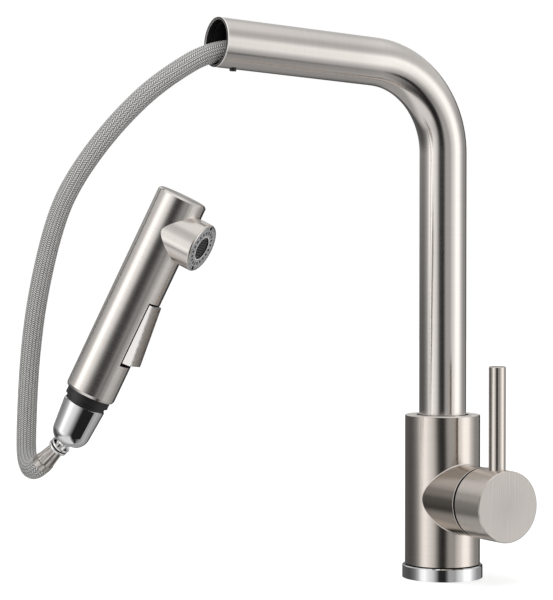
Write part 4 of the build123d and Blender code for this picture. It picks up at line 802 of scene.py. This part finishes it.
def woven_tube(name, length, hose, line=None):
    """Weaves both layers flat, rolls them round the core, and lays the tube along its line."""
    radius = hose.diameter / 2
    pieces = []
    for hand, slant, crest in (("right", 1, CREST), ("left", -1, CREST + 0.5)):
        layer = woven_layer(hand + "_hand_ribbons", length, slant, hose)
        only(layer)
        roll = layer.modifiers.new("roll", "SIMPLE_DEFORM")
        roll.deform_method = "BEND"
        roll.deform_axis = "Z"
        roll.angle = 2 * math.pi
        bpy.ops.object.modifier_apply(modifier="roll")
        layer.location = (0, -radius, 0)
        bpy.ops.object.transform_apply(location=True)
        layer.data.materials.append(braid_wire(hand + "_hand_wires_" + name, hose.wire, crest))
        pieces.append(layer)
    core = tube_core(length, radius - CORE_DEPTH)
    core.data.materials.append(moulded("hose_rubber_" + name, srgb("#1b1b1c"), 0.6))
    pieces.append(core)
    start_clean()
    for piece in pieces:
        piece.select_set(True)
    bpy.context.view_layer.objects.active = pieces[0]
    bpy.ops.object.join()
    tube = bpy.context.object
    tube.name = name
    # drawn in round its axis, so that the ribbons' crowns end at the hose's own radius
    share = (radius - (hose.wave + hose.crown + ROUNDING)) / radius
    tube.scale = (share, share, 1)
    bpy.ops.object.transform_apply(scale=True)
    if line is not None:
        follow = tube.modifiers.new("follow", "CURVE")
        follow.object = line
        follow.deform_axis = "POS_Z"
        bpy.ops.object.modifier_apply(modifier="follow")
    bpy.ops.object.shade_smooth_by_angle(angle=math.radians(60))
    return tube


# Operators, one for each piece or group of like pieces


class TAP_OT_free_hose(bpy.types.Operator):
    """Weaves the free hose and hangs it from the mouth to the spray"""

    bl_idname = "tap.free_hose"
    bl_label = "Free hose"

    def execute(self, context):
        hose = settings("tap_hose")
        line = route_curve(HOSE_ROUTE)
        path = points_on(line)
        tube = woven_tube("braided_hose", run_length(path), hose, line)
        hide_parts("hose_free")
        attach(tube, "hose")
        bpy.data.objects.remove(line)
        return {"FINISHED"}


class TAP_OT_arm_hose(bpy.types.Operator):
    """Weaves the straight stretch of hose inside the arm"""

    bl_idname = "tap.arm_hose"
    bl_label = "Hose inside the arm"

    def execute(self, context):
        low, high = ARM_STRETCH
        tube = woven_tube("braided_hose_in_arm", high - low, settings("tap_hose"))
        turn = RISER_ALONG.rotation_difference(ARM_ALONG)
        tube.matrix_world = Matrix.Translation(ARM_CROSSING + ARM_ALONG * low) @ turn.to_matrix().to_4x4()
        only(tube)
        bpy.ops.object.transform_apply(location=True, rotation=True)
        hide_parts("hose_arm_stretch")
        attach(tube, "hose")
        return {"FINISHED"}


class TAP_OT_brushed_steel(bpy.types.Operator):
    """Gives the brushed steel pieces their grain"""

    bl_idname = "tap.brushed_steel"
    bl_label = "Brushed steel"

    def execute(self, context):
        look = settings("tap_metal")
        dress("spout_tube", spout_steel("brushed_steel_spout"))
        dress("body_shell", body_steel("brushed_steel_body"))
        dress("lever_cap", lever_cap_steel("bead_blasted_and_brushed_lever_cap"))
        dress("spray_shell", spray_steel("brushed_steel_spray"))
        for node, name, centre, axis, colour in (
            ("lever_rod", "brushed_steel_rod", ROD_CENTRE, RISER_ALONG, look.steel),
            ("end_cap", "turned_steel_end_cap", SPRAY_TOP, SPRAY_ALONG, look.spout_steel),
            ("nozzle_housing", "brushed_steel_nozzle", NOZZLE_CENTRE, NOZZLE_ALONG, look.spout_steel),
        ):
            dress(node, turned_steel(name, centre, axis, colour))
        return {"FINISHED"}


class TAP_OT_polished_metal(bpy.types.Operator):
    """Gives the plated, brass and spring pieces their finish"""

    bl_idname = "tap.polished_metal"
    bl_label = "Polished and plated metal"

    def execute(self, context):
        dress("dome_nut", polished_metal("polished_chrome", settings("tap_metal").chrome))
        dress("base_ring", ring_chrome("polished_base_ring"))
        dress("selector_rocker", rocker_steel("cast_steel_selector"))
        dress("ball_stud", stud_chrome("polished_ball_stud"))
        dress("crimp_sleeve", crimped_nickel("crimped_nickel_sleeve"))
        kinds = {
            "brass": polished_metal("machined_brass", srgb("#d8b066"), 0.22, 0.10),
            "spring_steel": polished_metal("drawn_spring_steel", srgb("#b9b8b5"), 0.2, 0.08),
        }
        dress_kinds(kinds)
        dress("hose_tail", polished_metal("nickel_plated_tail", srgb("#d5cfc8"), 0.12, 0.08))
        # the aerator's mesh wire is given a dark grey
        dress("aerator_mesh", polished_metal("dark_mesh_wire", srgb("#7e7e7e"), 0.42, 0.14))
        for node in ("hose_lower", "hose_riser"):
            dress(node, sleeved_braid("braid_inside_" + node))
        return {"FINISHED"}


class TAP_OT_plastics(bpy.types.Operator):
    """Gives the plastic, rubber and ceramic pieces their finish"""

    bl_idname = "tap.plastics"
    bl_label = "Plastic, rubber and ceramic"

    def execute(self, context):
        kinds = {
            "black_plastic": moulded("black_acetal", srgb("#1c1c1d"), 0.36),
            "grey_plastic": moulded("grey_glass_filled_nylon", srgb("#77797c"), 0.46),
            "white_plastic": moulded("white_acetal", srgb("#e4e2dc"), 0.40, 900.0, 0.00002),
            "black_rubber": moulded("moulded_nitrile_rubber", srgb("#1a1a1a"), 0.62, 700.0, 0.00005),
            "ceramic": moulded("lapped_alumina", srgb("#ece6da"), 0.16, 2600.0, 0.000005),
        }
        dress_kinds(kinds)
        hidden = moulded("black_glass_filled_nylon", srgb("#131313"), 0.5)
        for node in ("nozzle_body", "aerator_insert"):
            dress(node, hidden)
        dress("spray_face", face_plastic("speckled_face_plastic", srgb("#b9babc"), FACE_FRONT))
        dress("aerator_housing", face_plastic("moulded_aerator_rim", srgb("#f0f0f1"), RIM_FRONT))
        return {"FINISHED"}


class TAP_OT_stage(bpy.types.Operator):
    """Sets the floor, the studio light and the camera"""

    bl_idname = "tap.stage"
    bl_label = "Floor, light and camera"

    def execute(self, context):
        stage = settings("tap_stage")
        make_floor(stage)
        make_tent()
        make_studio(stage)
        make_camera(stage)
        context.scene.view_settings.view_transform = "Standard"
        return {"FINISHED"}


# The floor, the light and the camera

FLOOR_LEVEL = -0.0002  # just under the base
FLOOR_LIFT = 0.55


def make_floor(stage):
    """A pale floor that takes shadows, lifted towards white where the camera sees it."""
    start_clean()
    bpy.ops.mesh.primitive_plane_add(size=stage.floor_size, location=(0, 0, FLOOR_LEVEL))
    floor = bpy.context.object
    floor.name = "studio_floor"
    material = bpy.data.materials.new("pale_studio_floor")
    tree, output = bare_tree(material)
    lift = add(tree, "Math MULTIPLY", add(tree, "LightPath", out="Is Camera Ray"), FLOOR_LIFT)
    paint = add(tree, "BsdfDiffuse", srgb("#dedede"))
    glow = add(tree, "Emission", WHITE, lift)
    feed(output.inputs["Surface"], add(tree, "AddShader", paint, glow))
    floor.data.materials.append(material)
    floor.visible_glossy = False


# The light tent that bright metal reflects: soft boxes and dark gaps, by the degrees round from the camera
TENT_BANDS = [
    (-180, 0.12), (-154, 0.12), (-120, 0.09), (-106, 0.14), (-94, 0.26), (-83, 0.58), (-74, 1.15),
    (-62, 1.34), (-52, 1.04), (-37, 0.76), (-28, 0.38), (-20, 0.03), (-4, 0.02), (2, 0.12), (8, 0.42),
    (18, 0.46), (30, 0.44), (40, 0.74), (52, 1.00), (64, 1.44), (80, 1.40), (95, 0.74), (113, 0.36),
    (140, 0.28), (150, 0.03), (180, 0.03),
]
# How those bands fade towards the tent's roof and floor, and the tone that takes their place there, by the
# sine of the angle above the horizon
TENT_FADE = [
    (-1.0, 0.22), (-0.75, 0.26), (-0.6, 0.36), (-0.4, 0.58), (-0.14, 1.0), (0.30, 1.0), (0.52, 0.0),
    (1.0, 0.0),
]
TENT_ROOF = [(0.0, 0.0), (0.30, 0.0), (0.51, 0.72), (0.69, 0.60), (0.80, 0.72), (0.88, 0.93), (1.0, 0.95)]
# Below, a pair is where a soft edge starts and where it is complete: a SIDE in degrees round, and a HEIGHT
# as the sine of the angle above the horizon
GAP_LEAN = 38.0  # the dark gap in front leans this many degrees to the right on its way down
GAP_SIDE = (42.0, 14.0)
LEFT_BOX_RISE = 1.2  # the soft box on the left is brighter towards its top
LEFT_BOX_SIDE = (-20.0, -60.0)
RIGHT_FLOOR_TONE = 0.38
RIGHT_FLOOR_SIDE = (78.0, 100.0)
RIGHT_FLOOR_HEIGHT = (-0.2, -0.7)
# The floor's brightness on the left, from straight behind to straight in front
LEFT_FLOOR = [(0.0, 0.40), (0.33, 0.40), (0.47, 0.70), (0.60, 0.88), (0.90, 0.80), (0.95, 0.0), (1.0, 0.0)]
LEFT_FLOOR_HEIGHT = (-0.30, -0.48)
BACK_BOX_TONE = 0.17  # a high dim box behind
BACK_BOX_SIDES = ((-84.0, -96.0), (160.0, 170.0))
BACK_BOX_HEIGHTS = ((0.02, 0.16), (0.50, 0.38))
DARK_SIDES = (-4.0, 66.0)  # the dark shape of the camera, low in front
DARK_FOOT = -0.74
DARK_HEAD = -0.45
DARK_SLOPE = 0.003  # its head slopes down to the right
DARKEST = 0.018
TENT_RADIUS = 3.0
PICTURE_RIGHT = Vector((0.866, -0.5, 0))
TOWARDS_CAMERA = Vector((-0.5, -0.866, 0))


def tent_light(tree, way, degrees):
    """The tent's brightness each way."""
    height = add(tree, "SeparateXYZ", way, out="Z")
    down = add(tree, "Math MINIMUM", height, 0.0)
    up = add(tree, "Math MAXIMUM", height, 0.0)
    lean = add(tree, "MapRange", degrees, *GAP_SIDE, 0.0, GAP_LEAN)
    leaned = add(tree, "Math MULTIPLY_ADD", down, lean, degrees)
    turn = add(tree, "MapRange", leaned, -180.0, 180.0)
    level = add(tree, "MapRange", height, -1.0, 1.0)
    brightest = max(value for _, value in TENT_BANDS)
    stops = [((side + 180) / 360, value / brightest) for side, value in TENT_BANDS]
    bands = add(tree, "ValToRGB", turn, stops=stops)
    fade = add(tree, "ValToRGB", level, stops=[((sine + 1) / 2, value) for sine, value in TENT_FADE])
    roof = add(tree, "ValToRGB", level, stops=[((sine + 1) / 2, value) for sine, value in TENT_ROOF])
    light = add(tree, "Math MULTIPLY", fade, bands)
    light = add(tree, "Math MULTIPLY", light, brightest)
    rise = add(tree, "MapRange", degrees, *LEFT_BOX_SIDE, 0.0, LEFT_BOX_RISE)
    rise = add(tree, "Math MULTIPLY", up, rise)
    light = add(tree, "Math MULTIPLY_ADD", light, rise, light)
    # the pale floor, dimmer behind on the left
    left_level = add(tree, "ValToRGB", add(tree, "MapRange", degrees, -180.0, 0.0), stops=LEFT_FLOOR)
    left_height = add(tree, "MapRange", height, *LEFT_FLOOR_HEIGHT)
    left_floor = add(tree, "Math MULTIPLY", left_height, left_level)
    light = add(tree, "Math MAXIMUM", light, left_floor)
    right_height = add(tree, "MapRange", height, *RIGHT_FLOOR_HEIGHT)
    right_side = add(tree, "MapRange", degrees, *RIGHT_FLOOR_SIDE, 0.0, RIGHT_FLOOR_TONE)
    light = add(tree, "Math MULTIPLY_ADD", right_height, right_side, light)
    # the high dim box
    left, right = (add(tree, "MapRange", degrees, *edge, 0.0, BACK_BOX_TONE) for edge in BACK_BOX_SIDES)
    box = add(tree, "Math MAXIMUM", left, right)
    for edge in BACK_BOX_HEIGHTS:
        box = add(tree, "Math MULTIPLY", box, add(tree, "MapRange", height, *edge))
    for part in (box, roof):
        light = add(tree, "Math ADD", light, part)
    # the camera's own dark shape
    head = add(tree, "Math MULTIPLY_ADD", degrees, DARK_SLOPE, height)
    shape = add(tree, "Math LESS_THAN", head, DARK_HEAD)
    for value, limit, test in (
        (height, DARK_FOOT, "GREATER_THAN"),
        (degrees, DARK_SIDES[0], "GREATER_THAN"),
        (degrees, DARK_SIDES[1], "LESS_THAN"),
    ):
        within = add(tree, "Math " + test, value, limit)
        shape = add(tree, "Math MULTIPLY", shape, within)
    outside = add(tree, "Math SUBTRACT", 1.0, shape)
    light = add(tree, "Math MULTIPLY", light, outside)
    return add(tree, "Math MAXIMUM", light, DARKEST)


def make_tent():
    """The light tent round the tap, which only reflections see."""
    start_clean()
    bpy.ops.mesh.primitive_uv_sphere_add(segments=64, ring_count=32, radius=TENT_RADIUS)
    tent = bpy.context.object
    tent.name = "light_tent"
    for ray in ("camera", "diffuse", "transmission", "volume_scatter", "shadow"):
        setattr(tent, "visible_" + ray, False)
    material = bpy.data.materials.new("light_tent")
    tree, output = bare_tree(material)
    way = add(tree, "VectorMath NORMALIZE", place(tree))
    right = add(tree, "VectorMath DOT_PRODUCT", way, PICTURE_RIGHT)
    front = add(tree, "VectorMath DOT_PRODUCT", way, TOWARDS_CAMERA)
    angle = add(tree, "Math ARCTAN2", right, front)
    light = tent_light(tree, way, add(tree, "Math DEGREES", angle))
    feed(output.inputs["Surface"], add(tree, "Emission", light, 1.0))
    tent.data.materials.append(material)


KEY_PLACE = Vector((-0.7, -0.9, 1.5))
KEY_AIM = Vector((-0.1, 0, 0.15))
KEY_SIZE = 1.1


def make_studio(stage):
    """White all round for what the camera sees and metal reflects past the tent, and even fill light."""
    world = bpy.data.worlds.new("studio")
    bpy.context.scene.world = world
    tree, output = bare_tree(world, "OutputWorld")
    rays = add(tree, "LightPath").node.outputs
    seen = add(tree, "Math MAXIMUM", rays["Is Camera Ray"], rays["Is Transmission Ray"])
    seen = add(tree, "Math MAXIMUM", seen, rays["Is Glossy Ray"])
    light = add(tree, "Mix", seen, (stage.fill,) * 3 + (1,), WHITE, **COLOURS)
    feed(output.inputs["Surface"], add(tree, "Background", light, 1.0))
    lamp = bpy.data.lights.new("key_light", "AREA")
    lamp.energy = stage.key
    lamp.shape = "DISK"
    lamp.size = KEY_SIZE
    holder = bpy.data.objects.new("key_light", lamp)
    holder.location = KEY_PLACE
    holder.rotation_mode = "QUATERNION"
    holder.rotation_quaternion = (KEY_AIM - KEY_PLACE).to_track_quat("-Z", "Y")
    holder.visible_glossy = False
    bpy.context.collection.objects.link(holder)


CAMERA_PLACE = (-0.74796, -1.08265, 0.20585)
CAMERA_DIP = 1.2475  # degrees below the horizon


def make_camera(stage):
    lens = bpy.data.cameras.new("camera")
    lens.lens = stage.lens
    lens.sensor_width = 36
    lens.clip_end = 20
    camera = bpy.data.objects.new("camera", lens)
    camera.location = CAMERA_PLACE
    look = Vector((0.5, 0.866, -math.tan(math.radians(CAMERA_DIP))))
    camera.rotation_mode = "QUATERNION"
    camera.rotation_quaternion = look.to_track_quat("-Z", "Y")
    bpy.context.collection.objects.link(camera)
    bpy.context.scene.camera = camera


class TAP_PT_panel(bpy.types.Panel):
    """Lists the tap's steps and settings"""

    bl_idname = "TAP_PT_panel"
    bl_label = "Mixer Tap"
    bl_space_type = "VIEW_3D"
    bl_region_type = "UI"
    bl_category = "Mixer Tap"

    def draw(self, context):
        for step in STEPS:
            self.layout.operator(step.bl_idname)
        for group in GROUPS:
            box = self.layout.box()
            values = getattr(context.scene, group)
            for name in values.__annotations__:
                box.prop(values, name)


GROUPS = {"tap_hose": HoseSettings, "tap_metal": MetalSettings, "tap_stage": StageSettings}
STEPS = (
    TAP_OT_brushed_steel,
    TAP_OT_polished_metal,
    TAP_OT_plastics,
    TAP_OT_free_hose,
    TAP_OT_arm_hose,
    TAP_OT_stage,
)


def register():
    for name, group in GROUPS.items():
        bpy.utils.register_class(group)
        setattr(bpy.types.Scene, name, PointerProperty(type=group))
    for step in STEPS:
        bpy.utils.register_class(step)
    bpy.utils.register_class(TAP_PT_panel)


def unregister():
    bpy.utils.unregister_class(TAP_PT_panel)
    for step in reversed(STEPS):
        bpy.utils.unregister_class(step)
    for name, group in GROUPS.items():
        delattr(bpy.types.Scene, name)
        bpy.utils.unregister_class(group)


def main():
    register()
    bpy.ops.tap.brushed_steel()
    bpy.ops.tap.polished_metal()
    bpy.ops.tap.plastics()
    bpy.ops.tap.free_hose()
    bpy.ops.tap.arm_hose()
    bpy.ops.tap.stage()


if __name__ == "__main__":
    main()
